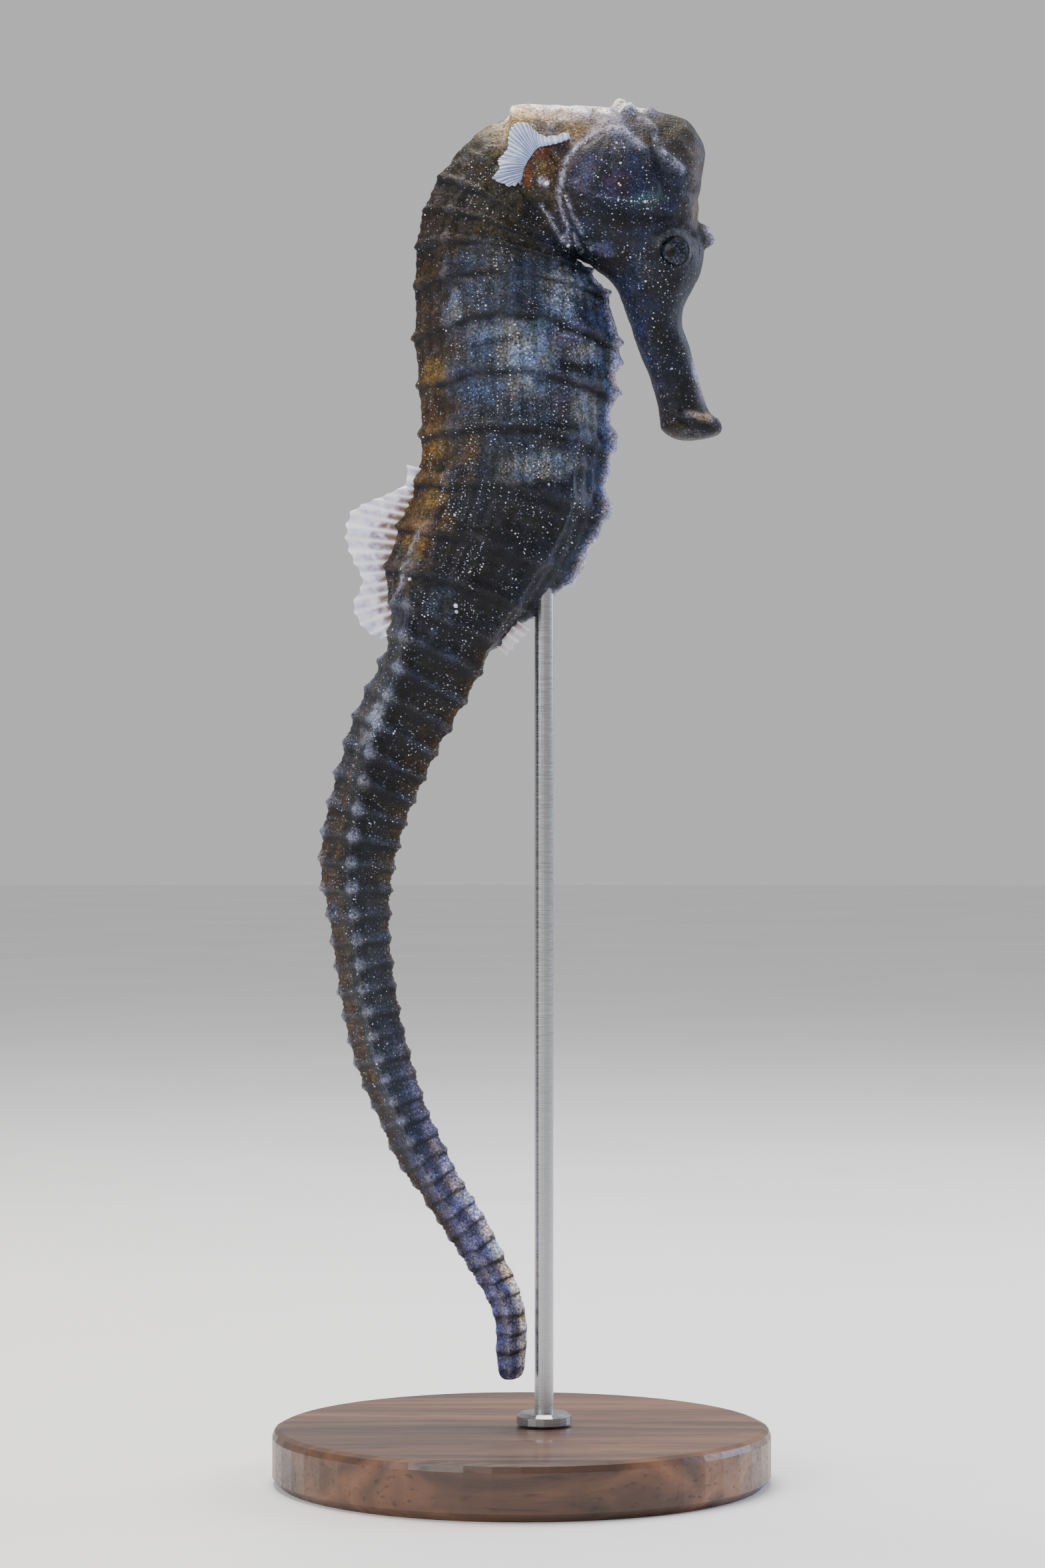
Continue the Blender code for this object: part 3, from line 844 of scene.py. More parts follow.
def inside_outline(x: np.ndarray, z: np.ndarray, outline: Any) -> np.ndarray:
    """True where side-view points lie inside a closed outline."""
    points = np.asarray(outline, float)
    found = np.zeros(x.shape, bool)
    for a, b in zip(points, np.roll(points, -1, axis=0)):
        rise = b[1] - a[1]
        crossed = (a[1] > z) != (b[1] > z)
        place = a[0] + (z - a[1]) * (b[0] - a[0]) / (rise if abs(rise) > 1e-9 else 1e-9)
        found ^= crossed & (x < place)
    return found


def lumps(points: np.ndarray, pitch: tuple[float, float, float], seed: float) -> np.ndarray:
    """Smooth noise of about -1 to 1 over points, with its own pitch on each axis.

    Args:
        points: Points in millimetres.
        pitch: Distance between lumps along X, Y and Z, in millimetres.
        seed: Shift that makes one noise differ from another.

    Returns:
        One value to a point.
    """
    flat = (points.reshape(-1, 3) / np.array(pitch) + seed).tolist()
    found = np.fromiter((noise.noise(Vector(p)) for p in flat), float, len(flat))
    return found.reshape(points.shape[:2]) * 1.6


def grains(points: np.ndarray, pitch: float) -> np.ndarray:
    """Rounded grains, 1 in the middle of each and 0 between them."""
    flat = (points.reshape(-1, 3) / pitch).tolist()
    found = np.fromiter((noise.voronoi(Vector(p))[0][0] for p in flat), float, len(flat))
    return np.clip(1.0 - found.reshape(points.shape[:2]) / 0.75, 0.0, 1.0)


@dataclass(frozen=True)
class SkinRelief:
    """Relief of the skin over the bare form: rings, ridges, knobs, gill and eyes."""

    domes: tuple[Dome, ...] = (
        Dome(9.8, 150.8, 6.5, 0.8),
        Dome(17.7, 142.7, 3.1, 1.5),
        Dome(17.0, 152.6, 3.2, 0.4),
        Dome(2.7, 152.0, 2.6, 0.9),
        Dome(9.5, 142.9, 1.5, 0.35),
        Dome(5.1, 143.9, 0.8, 0.35),
        Dome(2.7, 150.3, 0.6, 0.4),
        Dome(10.2, 159.0, 0.55, 0.35),
    )
    gill_cover: tuple[tuple[float, float], ...] = (
        (4.5, 150.0),
        (4.7, 151.5),
        (5.4, 153.1),
        (6.4, 154.3),
        (7.6, 155.3),
        (9.0, 156.1),
        (10.4, 156.8),
        (11.6, 156.5),
        (12.8, 155.5),
        (14.0, 154.3),
        (14.9, 153.2),
        (15.8, 151.4),
        (16.3, 149.6),
        (16.0, 147.9),
        (14.0, 147.1),
        (10.9, 147.7),
        (7.1, 148.8),
        (5.2, 149.4),
    )
    ridges: tuple[Ridge, ...] = (
        Ridge(
            (
                (4.4, 149.4),
                (4.7, 151.5),
                (5.4, 153.1),
                (6.4, 154.3),
                (7.6, 155.3),
                (9.0, 156.1),
                (10.4, 156.8),
                (11.6, 156.4),
                (12.8, 155.4),
                (14.0, 154.2),
            ),
            0.3,
            0.32,
            0.95,
        ),
        Ridge(((11.6, 156.4), (12.9, 155.3), (13.9, 154.2)), 0.5, 0.2, 0.85),
        Ridge(((10.6, 159.8), (12.6, 158.9), (14.2, 157.7), (15.2, 156.6)), 0.5, 0.3, 0.5),
        Ridge(((15.2, 156.6), (15.6, 154.8), (16.4, 153.4), (17.3, 152.6)), 0.4, 0.45, 0.6),
        Ridge(((16.6, 153.2), (18.2, 152.0)), 0.5, 0.6, 0.55),
        Ridge(((2.3, 147.7), (3.3, 146.2), (4.2, 144.6), (5.0, 143.6)), 0.24, 0.25, 0.5),
        Ridge(((4.3, 148.6), (4.9, 146.2), (6.1, 144.3), (6.9, 142.8)), 0.24, 0.25, 0.5),
        Ridge(((5.1, 148.8), (5.9, 146.7), (7.1, 144.6), (8.1, 143.0)), 0.24, 0.25, 0.4),
        Ridge(
            ((5.2, 149.9), (7.1, 149.2), (8.5, 148.8), (9.9, 148.5), (11.4, 148.1)),
            0.25,
            0.12,
            0.08,
        ),
        Ridge(((8.5, 158.4), (9.0, 157.2), (10.0, 157.6)), 0.25, 0.25, 0.7),
        Ridge(((18.3, 124.0), (20.2, 123.7), (21.9, 123.3), (23.2, 122.9)), 0.35, 0.4, 0.35),
        Ridge(((17.8, 121.9), (19.4, 121.7), (21.2, 121.3)), 0.4, 0.2, 0.1),
        Ridge(
            ((19.9, 137.3), (19.0, 134.6), (19.8, 131.6), (20.9, 127.6), (21.5, 125.4)),
            0.35,
            0.2,
            0.3,
        ),
        Ridge(
            ((5.0, 155.0), (3.6, 154.6), (2.2, 154.2), (1.1, 153.2), (0.6, 151.9), (0.3, 150.4)),
            0.3,
            0.2,
            0.0,
        ),
        Ridge(((-11.4, 110.4), (-12.7, 108.2), (-13.7, 104.3), (-15.4, 100.9)), 0.35, 0.3, 0.4),
        Ridge(((-14.1, 111.7), (-15.4, 109.2)), 0.3, 0.3, 0.4),
    )
    grooves: tuple[Ridge, ...] = (
        Ridge(((0.3, 148.9), (2.0, 146.6), (3.4, 144.6), (5.0, 142.9)), 0.45, -0.4, 0.0, 0.5),
        Ridge(
            ((5.4, 149.3), (8.3, 148.2), (10.9, 147.2), (14.2, 146.5), (18.4, 146.3)),
            0.6,
            -0.35,
            0.0,
            0.6,
        ),
        Ridge(((3.2, 154.0), (4.4, 152.0), (4.1, 150.2)), 0.35, -0.3, 0.0, 0.3),
        Ridge(((16.2, 151.6), (16.6, 149.8), (19.6, 149.4)), 0.6, -0.2, 0.0, 0.3),
        Ridge(((22.4, 121.8), (20.9, 122.3), (19.4, 122.7), (18.4, 123.2)), 0.28, -0.45, 0.0, 0.75),
        Ridge(((12.3, 141.0), (13.8, 138.2), (15.4, 134.5)), 0.8, -0.2, 0.0, 0.2),
        Ridge(((8.2, 157.2), (8.5, 158.9), (9.4, 159.6)), 0.3, -0.3, 0.0, 0.5),
        Ridge(((15.2, 155.6), (15.4, 153.6), (16.0, 152.2)), 0.35, -0.3, 0.0, 0.6),
        Ridge(((15.6, 144.6), (16.6, 145.5), (18.2, 145.6), (19.9, 144.9)), 0.35, -0.3, 0.0, 0.4),
    )
    # Bumps of the belly's edge: height and how far each stands out.
    keel_bumps: tuple[tuple[float, float], ...] = (
        (130.1, 0.9),
        (126.2, 0.25),
        (121.7, 1.0),
        (117.6, 0.3),
        (113.7, 0.8),
        (110.0, 0.5),
        (106.6, 0.45),
    )
    eye_x: float = 17.6
    eye_y: float = 3.5
    eye_z: float = 142.5
    eye_radius: float = 2.1
    lid_radius: float = 1.75
    spine_x: float = 21.2
    spine_z: float = 144.9
    # Blunt points of the low crown: x, y, radius and height.
    crown: tuple[tuple[float, float, float, float], ...] = (
        (11.5, 0.0, 0.95, 1.15),
        (12.4, 1.9, 0.85, 1.1),
        (12.4, -1.9, 0.85, 1.1),
        (15.0, 1.5, 0.8, 0.75),
        (15.0, -1.5, 0.8, 0.75),
    )

    def shape(self, grid: BodyGrid) -> tuple[np.ndarray, np.ndarray, np.ndarray]:
        """Raises the relief on the grid.

        Args:
            grid: The body's bare form.

        Returns:
            The final points, and the crease and crest strengths, from 0 to 1: painted shade in the
            creases, and pale crests that are partly painted highlight.
        """
        points = grid.points.copy()
        for dome in self.domes:
            near = bell(np.hypot(points[..., 0] - dome.x, points[..., 2] - dome.z), dome.radius)
            points[..., 1] *= 1.0 + dome.height / grid.half[:, None] * near
        grid.cap(points)
        normals = grid.normals_of(points)
        height, crease, crest = self._rings(grid, points)
        rough = lumps(points, (0.9, 0.9, 0.9), 3.0)
        x, z = points[..., 0], points[..., 2]
        sideways = ease(0.12, 0.5, np.abs(normals[..., 1]))
        for line in self.ridges + self.grooves:
            near = bell(line_distance(x, z, line.line) * (1.0 + 0.25 * rough), line.width)
            near *= sideways
            height += line.height * near * (1.0 + 0.3 * rough)
            # Paler along the ridge lines, partly painted highlight on their raised edges; darker in
            # the grooves, painted shade.
            crest = np.maximum(crest, 0.6 * line.pale * near * (0.7 + 0.9 * rough))
            crease = np.maximum(crease, line.dark * near)
        cover = inside_outline(x, z, self.gill_cover) * sideways
        edge = line_distance(x, z, self.gill_cover)
        height += 0.5 * cover * ease(0.0, 0.9, edge)
        radial = np.sin(np.arctan2(157.0 - z, x - 10.4) * 15.0 + 0.9 * rough)
        height += 0.06 * cover * radial
        crease = np.maximum(crease, 0.3 * cover * ease(0.1, 0.9, radial))
        height += self._grain(points, grid)
        height -= 0.85 * self._nape_notch(points, grid)
        points += normals * (height * self._room(grid))[..., None]
        self._crown(points, crest, crease)
        self._nose_spine(points, crest)
        self._eyelids(points, crest, crease)
        grid.cap(points)
        return points, np.clip(crease, 0.0, 1.0), np.clip(crest, 0.0, 1.0)

    @staticmethod
    def _room(grid: BodyGrid) -> np.ndarray:
        """Share of the relief kept where the rings of points crowd together."""
        step = np.linalg.norm(np.gradient(grid.points, axis=0), axis=2)
        return ease(0.02, 0.2, step)

    def _rings(
        self, grid: BodyGrid, points: np.ndarray
    ) -> tuple[np.ndarray, np.ndarray, np.ndarray]:
        """Height, crease and crest of the bony rings, ridges and knobs."""
        sway = lumps(points, (2.4, 2.4, 2.4), 11.0)
        off = grid.ring - np.round(grid.ring)
        reach = off * grid.ring_pitch + 0.22 * sway
        scale = np.clip(grid.half[:, None] / 6.0, 0.3, 1.0)
        ring_height = table_at(grid.form.ring_height, grid.u)[:, None]
        knob_height = table_at(grid.form.knob_height, grid.u)[:, None]
        trunk = ease(17.5, 22.0, grid.u)[:, None]
        body = (1.0 - ease(32.0, 33.6, grid.u))[:, None]
        # A ring rises slowly from the head's side and drops sharply on the tail's side.
        wide = np.where(reach > 0.0, 0.75, 0.32) * (0.55 + 0.45 * scale)
        line = bell(reach, wide)
        height = ring_height * (line * (1.0 + 0.4 * sway) - 0.35 * np.sin(np.pi * off) ** 2)
        strong = np.array([0.3, 1.0, 0.5, 0.9, 1.0, 0.9, 0.5, 1.0])
        weak = np.array([0.0, 1.0, 0.0, 0.55, 0.0, 0.55, 0.0, 1.0])
        folds = np.zeros_like(height)
        knobs = np.zeros_like(height)
        for k in range(8):
            part = trunk * strong[k] + (1.0 - trunk) * weak[k]
            away = grid.corner[k] + 0.15 * sway
            folds = np.maximum(folds, part * bell(away, 0.6 * scale + 0.1))
            spot = bell(away, 0.75 * scale + 0.1) * bell(reach, wide + 0.3 * scale)
            knobs = np.maximum(knobs, part * spot)
        height += body * (0.2 * scale * folds + knob_height * knobs)
        below_chest = ease(19.6, 21.5, grid.u) * (1.0 - ease(28.0, 30.0, grid.u))
        keel = bell(grid.corner[4], 0.7) * below_chest[:, None]
        height += 0.3 * keel
        for place, rise in self.keel_bumps:
            height += rise * keel * bell(points[..., 2] - place, 0.85)
        # Painted shade: darker just below each ring's crest, in the troughs of the fine ring steps
        # and between the lengthwise rows.
        below = bell(reach + 0.66 * (0.5 + 0.5 * scale), 0.42 * scale + 0.12)
        crease = body * below * (1.0 + 0.3 * sway) * (1.0 - 0.7 * knobs)
        crest = body * knobs * (0.05 + 0.12 * (1.0 - trunk)) * grid.near_ridge()
        # Pale along the belly's keel edge is painted rim light.
        crest = np.maximum(crest, 0.3 * keel * bell(grid.corner[4], 0.45))
        steps = np.sin(2.0 * np.pi * (grid.ring * 4.0 + 0.25 * sway)) * (1.0 - line)
        height += 0.07 * steps * body * (1.0 - 0.3 * trunk) * (grid.u > 2.5)[:, None]
        crease = np.maximum(crease, 0.38 * body * (1.0 - 0.2 * trunk) * ease(0.2, 1.0, -steps))
        rows = np.cos(grid.around[:, :-1] * 2.0 * np.pi / 1.7 + 0.7 * sway)
        height += 0.1 * rows * trunk * body * (1.0 - line)
        crease = np.maximum(crease, 0.42 * ease(0.1, 1.0, -rows) * trunk * body)
        return height, np.clip(crease, 0.0, 1.0), crest

    @staticmethod
    def _grain(points: np.ndarray, grid: BodyGrid) -> np.ndarray:
        """Lumps, wrinkles and rounded grains of the skin, finer on the tail."""
        scale = np.clip(grid.half[:, None] / 5.5, 0.3, 1.0)
        coarse = lumps(points, (1.9, 1.9, 1.9), 0.0)
        neck = (ease(27.5, 30.0, grid.u) * (1.0 - ease(33.5, 35.0, grid.u)))[:, None]
        turned = points.copy()
        turned[..., 0] = 0.8 * points[..., 0] + 0.6 * points[..., 2]
        turned[..., 2] = 0.8 * points[..., 2] - 0.6 * points[..., 0]
        wrinkles = 1.0 - 2.0 * np.abs(lumps(turned, (2.6, 2.6, 1.0), 23.0))
        small = grains(points, 1.15)
        return (0.13 * coarse + 0.09 * small) * scale + 0.13 * neck * wrinkles

    @staticmethod
    def _nape_notch(points: np.ndarray, grid: BodyGrid) -> np.ndarray:
        """Where the neck lies lower than the bony shelf of the nape, from 0 to 1."""
        x = points[..., 0] + 0.12 * np.abs(points[..., 1])
        drop = ease(-4.6, -2.3, x) * (1.0 - ease(-1.75, -1.15, x))
        return drop * (1.0 - ease(-0.8, -0.45, grid.depth)) * (points[..., 2] > 155.0)

    def _crown(self, points: np.ndarray, crest: np.ndarray, crease: np.ndarray) -> None:
        """Raises the low knobbly crown on top of the head, painted paler on its points and darker
        round its foot.
        """
        x, y = points[..., 0], points[..., 1]
        top = ease(155.5, 157.5, points[..., 2])
        mound = bell(np.hypot((x - 13.2) / 3.4, y / 2.9), 1.0)
        rise = 0.45 * mound
        for place_x, place_y, radius, height in self.crown:
            near = np.exp(-((np.hypot(x - place_x, y - place_y) / radius) ** 3))
            rise = np.maximum(rise, height * near + 0.35 * mound)
            # Paler on each point: painted highlight of the top light.
            np.maximum(crest, 0.22 * near * top, out=crest)
        points[..., 2] += rise * top
        # Painted shade round the crown's foot.
        rim = bell(np.hypot((x - 13.2) / 3.0, y / 2.5) - 1.0, 0.14)
        np.maximum(crease, 0.75 * rim * top, out=crease)

    def _nose_spine(self, points: np.ndarray, crest: np.ndarray) -> None:
        """Draws out the blunt double spine where the forehead meets the snout."""
        away = points - np.array([self.spine_x, 0.0, self.spine_z])
        far = np.linalg.norm(away * (0.7, 1.0, 0.85), axis=2)
        near = np.exp(-((far / 1.2) ** 6)) * (points[..., 0] > self.spine_x - 1.8)
        split = 1.0 - 0.35 * bell(points[..., 2] - self.spine_z - 0.45, 0.35)
        points[..., 0] += 1.3 * near * split
        np.maximum(crest, 0.5 * near**2, out=crest)

    def _eyelids(self, points: np.ndarray, crest: np.ndarray, crease: np.ndarray) -> None:
        """Opens the skin round each eye, with a rolled lid standing on the ball."""
        x, y, z = points[..., 0], points[..., 1], points[..., 2]
        away = np.hypot(x - self.eye_x, z - self.eye_z)
        near = (away < 4.2) & (np.abs(y) > 2.0)
        ball = self.eye_y + np.sqrt(np.maximum(self.eye_radius**2 - away**2, 0.0))
        lid = bell(away - self.lid_radius - 0.3, 0.4)
        goal = np.maximum(np.abs(y), ball + 0.04)
        wide = np.where(away < self.eye_radius + 0.2, goal, np.abs(y))
        angle = np.arctan2(z - self.eye_z, x - self.eye_x)
        wide = wide + lid * (0.09 + 0.04 * np.sin(angle * 9.0) + 0.05 * np.sin(angle * 23.0))
        folds = bell(away - 2.35, 0.2) + bell(away - 3.0, 0.22)
        wide = wide - 0.12 * folds * (0.6 + 0.4 * np.sin(angle * 2.0))
        inside = 1.0 - ease(self.lid_radius - 0.45, self.lid_radius - 0.1, away)
        wide = wide * (1.0 - inside) + (self.eye_y + 0.35) * inside
        points[..., 1] = np.where(near, np.sign(y) * wide, y)
        # Painted highlight on the upper lid, where the top light falls.
        upper = lid * ease(-0.4, 0.9, (z - self.eye_z) / self.lid_radius)
        np.maximum(crest, np.where(near, 0.06 * upper, 0.0), out=crest)
        # Painted shade in the folds round the eye.
        dark = 0.45 * folds
        np.maximum(crease, np.where(near, dark, 0.0), out=crease)


@dataclass(frozen=True)
class SkinPaint:
    """Colours of the skin: back, side and belly along the body, then patches."""

    bands: tuple[tuple[float, Paint, Paint, Paint], ...] = (
        # At the tail's end the pale lilac and white belly lane is painted light, on the side that
        # faces the light.
        (0.0, Paint.VIOLET, Paint.MAUVE, Paint.LILAC),
        (3.0, Paint.VIOLET, Paint.MAUVE, Paint.PEARL),
        (5.5, Paint.UMBER, Paint.VIOLET, Paint.LILAC),
        (7.5, Paint.UMBER, Paint.INDIGO, Paint.MAUVE),
        (10.0, Paint.BARK, Paint.SLATE, Paint.SLATE),
        (14.0, Paint.BARK, Paint.CHARCOAL, Paint.OLIVE),
        (17.0, Paint.SLATE, Paint.CHARCOAL, Paint.UMBER),
        (20.0, Paint.SLATE, Paint.CHARCOAL, Paint.CHARCOAL),
        (22.5, Paint.BRONZE, Paint.CHARCOAL, Paint.NAVY),
        (24.5, Paint.BRONZE, Paint.SLATE, Paint.INDIGO),
        # Steel on the flank is partly painted sheen: the blue-grey cast the dark skin takes in the
        # light.
        (26.0, Paint.BARK, Paint.STEEL, Paint.STEEL),
        (28.5, Paint.UMBER, Paint.STEEL, Paint.STEEL),
        (30.0, Paint.UMBER, Paint.OLIVE, Paint.INDIGO),
        (33.0, Paint.OLIVE, Paint.OLIVE, Paint.NAVY),
        # Bone on the back at the nape is partly a pale saddle and partly painted highlight of the
        # top light.
        (35.0, Paint.BONE, Paint.BARK, Paint.NAVY),
        (38.0, Paint.MAUVE, Paint.INDIGO, Paint.NAVY),
        (39.0, Paint.OLIVE, Paint.INDIGO, Paint.NAVY),
        (41.0, Paint.OLIVE, Paint.INDIGO, Paint.CHARCOAL),
        (43.0, Paint.UMBER, Paint.CHARCOAL, Paint.INDIGO),
        (47.0, Paint.SLATE, Paint.NAVY, Paint.INDIGO),
        (54.0, Paint.UMBER, Paint.CHARCOAL, Paint.UMBER),
    )
    patches: tuple[Patch, ...] = (
        Patch(-10.2, 128.6, 2.0, 1.8, 80, Paint.GOLD, 0.7),
        Patch(-9.9, 120.9, 1.9, 1.7, 85, Paint.GOLD, 0.6),
        Patch(-9.8, 114.8, 2.2, 1.5, 70, Paint.GOLD, 0.6),
        Patch(-12.0, 109.6, 2.4, 1.8, 70, Paint.GOLD, 0.6),
        Patch(-13.8, 105.0, 1.6, 2.0, 80, Paint.BRONZE, 0.7),
        Patch(-10.6, 140.3, 2.2, 1.2, 20, Paint.BRONZE, 0.5),
        Patch(-4.5, 139.9, 3.0, 0.8, 15, Paint.BRONZE, 0.5),
        Patch(-8.4, 143.4, 1.6, 1.6, 0, Paint.BRONZE, 0.35),
        Patch(-10.2, 136.4, 1.5, 1.0, 10, Paint.BRONZE, 0.5),
        Patch(-9.8, 132.8, 1.6, 1.0, 10, Paint.UMBER, 0.8),
        Patch(-9.4, 125.0, 1.0, 1.3, 10, Paint.INK, 0.6),
        Patch(-9.3, 117.8, 1.0, 0.8, 15, Paint.INK, 0.7),
        Patch(-10.1, 112.2, 1.3, 0.9, 15, Paint.INK, 0.5),
        # The silver, steel, teal and blue patches of the flank are partly painted sheen: the
        # blue-grey cast the dark skin takes in the light.
        Patch(-7.8, 136.0, 0.8, 2.4, 5, Paint.SILVER, 0.5),
        Patch(-6.5, 127.0, 1.3, 3.6, 0, Paint.STEEL, 0.5),
        Patch(0.4, 129.8, 3.4, 4.4, 0, Paint.SILVER, 0.6),
        Patch(-0.2, 136.5, 3.0, 1.5, 10, Paint.SLATE, 0.6),
        Patch(5.2, 138.9, 3.0, 1.7, -15, Paint.SILVER, 0.55),
        Patch(2.2, 134.2, 1.6, 0.9, 15, Paint.TEAL, 0.5),
        Patch(0.9, 135.6, 1.5, 0.7, 10, Paint.INK, 0.6),
        Patch(5.4, 132.9, 2.6, 1.5, 20, Paint.MAUVE, 0.7),
        Patch(8.0, 131.0, 2.2, 1.3, 25, Paint.SILVER, 0.7),
        Patch(9.4, 135.6, 0.9, 3.2, -5, Paint.MAUVE, 0.4),
        Patch(6.3, 129.1, 3.2, 0.85, 2, Paint.INK, 0.8),
        Patch(2.3, 127.7, 1.2, 1.0, 0, Paint.INK, 0.6),
        Patch(4.6, 124.6, 1.2, 1.6, 0, Paint.PLUM, 0.55),
        Patch(7.6, 124.0, 1.5, 3.4, 5, Paint.SILVER, 0.45),
        Patch(-3.0, 133.6, 3.6, 1.4, 10, Paint.SILVER, 0.4),
        Patch(4.4, 136.2, 2.0, 1.2, -20, Paint.SILVER, 0.5),
        Patch(-0.5, 121.9, 10.0, 0.6, 2, Paint.INK, 0.8),
        Patch(-2.0, 115.2, 8.0, 0.45, 4, Paint.INK, 0.6),
        Patch(-2.6, 132.0, 5.0, 0.35, 8, Paint.INK, 0.6),
        Patch(2.2, 117.6, 5.0, 1.8, 10, Paint.SILVER, 0.4),
        # Blue along the belly's edge is painted rim light.
        Patch(10.6, 126.6, 1.0, 5.0, 4, Paint.BLUE, 0.5),
        Patch(-2.9, 110.2, 5.0, 4.0, 20, Paint.CHARCOAL, 0.5),
        Patch(3.5, 108.5, 4.0, 2.5, 40, Paint.NAVY, 0.5),
        Patch(-9.6, 101.0, 1.6, 4.2, -20, Paint.STEEL, 0.45),
        Patch(-17.0, 88.8, 1.2, 3.4, -22, Paint.SILVER, 0.6),
        Patch(-12.6, 86.0, 1.4, 3.0, -25, Paint.UMBER, 0.5),
        Patch(-21.5, 66.5, 0.9, 1.2, 0, Paint.BLUE, 0.6),
        Patch(6.0, 146.0, 2.4, 3.4, -40, Paint.INDIGO, 0.6),
        Patch(1.4, 146.8, 1.5, 2.8, -40, Paint.INK, 0.75),
        Patch(-0.4, 157.7, 2.2, 0.6, 0, Paint.GOLD, 0.9),
        Patch(6.2, 157.0, 2.0, 1.1, 10, Paint.GOLD, 0.75),
        Patch(2.6, 156.9, 2.2, 0.7, -15, Paint.INDIGO, 0.7),
        Patch(2.9, 152.2, 2.1, 1.8, 0, Paint.BRONZE, 0.8),
        Patch(0.6, 151.6, 0.6, 1.8, -10, Paint.RUST, 0.7),
        Patch(2.6, 154.2, 1.8, 0.5, 25, Paint.RUST, 0.8),
        Patch(10.8, 150.1, 1.7, 1.3, 0, Paint.PLUM, 0.8),
        Patch(7.2, 151.6, 1.6, 2.6, -20, Paint.MAUVE, 0.35),
        Patch(9.4, 153.8, 3.0, 1.6, 20, Paint.INDIGO, 0.5),
        Patch(14.2, 148.2, 2.4, 0.8, 8, Paint.TEAL, 0.45),
        Patch(9.5, 146.6, 4.5, 0.9, -10, Paint.INK, 0.75),
        Patch(13.4, 145.6, 4.0, 0.7, 5, Paint.INK, 0.7),
        Patch(9.5, 142.8, 1.3, 0.6, -20, Paint.MAUVE, 0.6),
        Patch(5.1, 143.9, 0.7, 0.9, -30, Paint.LILAC, 0.3),
        Patch(2.7, 150.3, 0.7, 0.6, 0, Paint.LILAC, 0.6),
        Patch(10.2, 159.0, 0.6, 0.5, 0, Paint.LILAC, 0.8),
        # Lilac on top of the crown is painted highlight of the top light.
        Patch(13.6, 159.6, 3.0, 0.5, -18, Paint.LILAC, 0.3),
        Patch(12.8, 157.6, 1.5, 1.0, -30, Paint.OLIVE, 0.7),
        Patch(18.4, 155.6, 2.6, 2.4, -50, Paint.OLIVE, 0.8),
        Patch(20.2, 152.5, 0.9, 3.0, 0, Paint.BRONZE, 0.5),
        Patch(20.3, 147.6, 0.6, 1.8, 0, Paint.GOLD, 0.5),
        Patch(14.0, 140.5, 2.0, 2.0, 0, Paint.STEEL, 0.35),
        Patch(19.2, 139.0, 1.6, 1.4, -30, Paint.INK, 0.6),
        # Lilac along the snout's front edge is painted highlight on its ridge.
        Patch(20.6, 128.6, 0.5, 3.4, 12, Paint.LILAC, 0.5),
        # Bone on the upper lip is partly its pale rim and partly painted highlight.
        Patch(20.8, 123.7, 1.6, 0.35, -15, Paint.BONE, 0.4),
        Patch(18.8, 122.4, 1.6, 0.6, -10, Paint.OLIVE, 0.7),
    )

    def colour(self, grid: BodyGrid, points: np.ndarray) -> np.ndarray:
        """Linear colour of each point of the skin.

        Args:
            grid: The body's bare form, for places and depths.
            points: The final points of the skin.

        Returns:
            An array of red, green and blue, one row to a point.
        """
        places = [row[0] for row in self.bands]
        lanes = []
        for lane in (1, 2, 3):
            codes = np.array([linear(row[lane].value)[:3] for row in self.bands])
            lanes.append(np.column_stack([np.interp(grid.u, places, c) for c in codes.T])[:, None])
        sway = lumps(points, (2.2, 2.2, 2.2), 41.0)
        depth = grid.depth + 0.16 * sway
        back = (1.0 - ease(-0.85, -0.35, depth))[..., None]
        belly = ease(0.25, 0.8, depth)[..., None]
        tint = lanes[1] * (1.0 - back) * (1.0 - belly) + lanes[0] * back + lanes[2] * belly
        x = points[..., 0] + 0.35 * sway
        z = points[..., 2] + 0.35 * lumps(points, (1.4, 1.4, 1.4), 57.0)
        for patch in self.patches:
            turn = math.radians(patch.turn)
            along = (x - patch.x) * math.cos(turn) + (z - patch.z) * math.sin(turn)
            across = (z - patch.z) * math.cos(turn) - (x - patch.x) * math.sin(turn)
            near = np.hypot(along / patch.long, across / patch.short)
            tint = self._over(tint, patch.paint, patch.strength * (1.0 - ease(0.4, 1.3, near)))
        return self._edges(grid, tint)

    def _edges(self, grid: BodyGrid, tint: np.ndarray) -> np.ndarray:
        """Painted rim light on the belly's keel, the pale nape top with painted top light, and dark
        tail squares.
        """
        trunk = (ease(20.5, 22.0, grid.u) * (1.0 - ease(29.0, 31.0, grid.u)))[:, None]
        # Painted rim light: blue and lilac along the belly's keel edge.
        tint = self._over(tint, Paint.BLUE, 0.55 * bell(grid.corner[4], 1.3) * trunk)
        tint = self._over(tint, Paint.LILAC, 0.8 * bell(grid.corner[4], 0.55) * trunk)
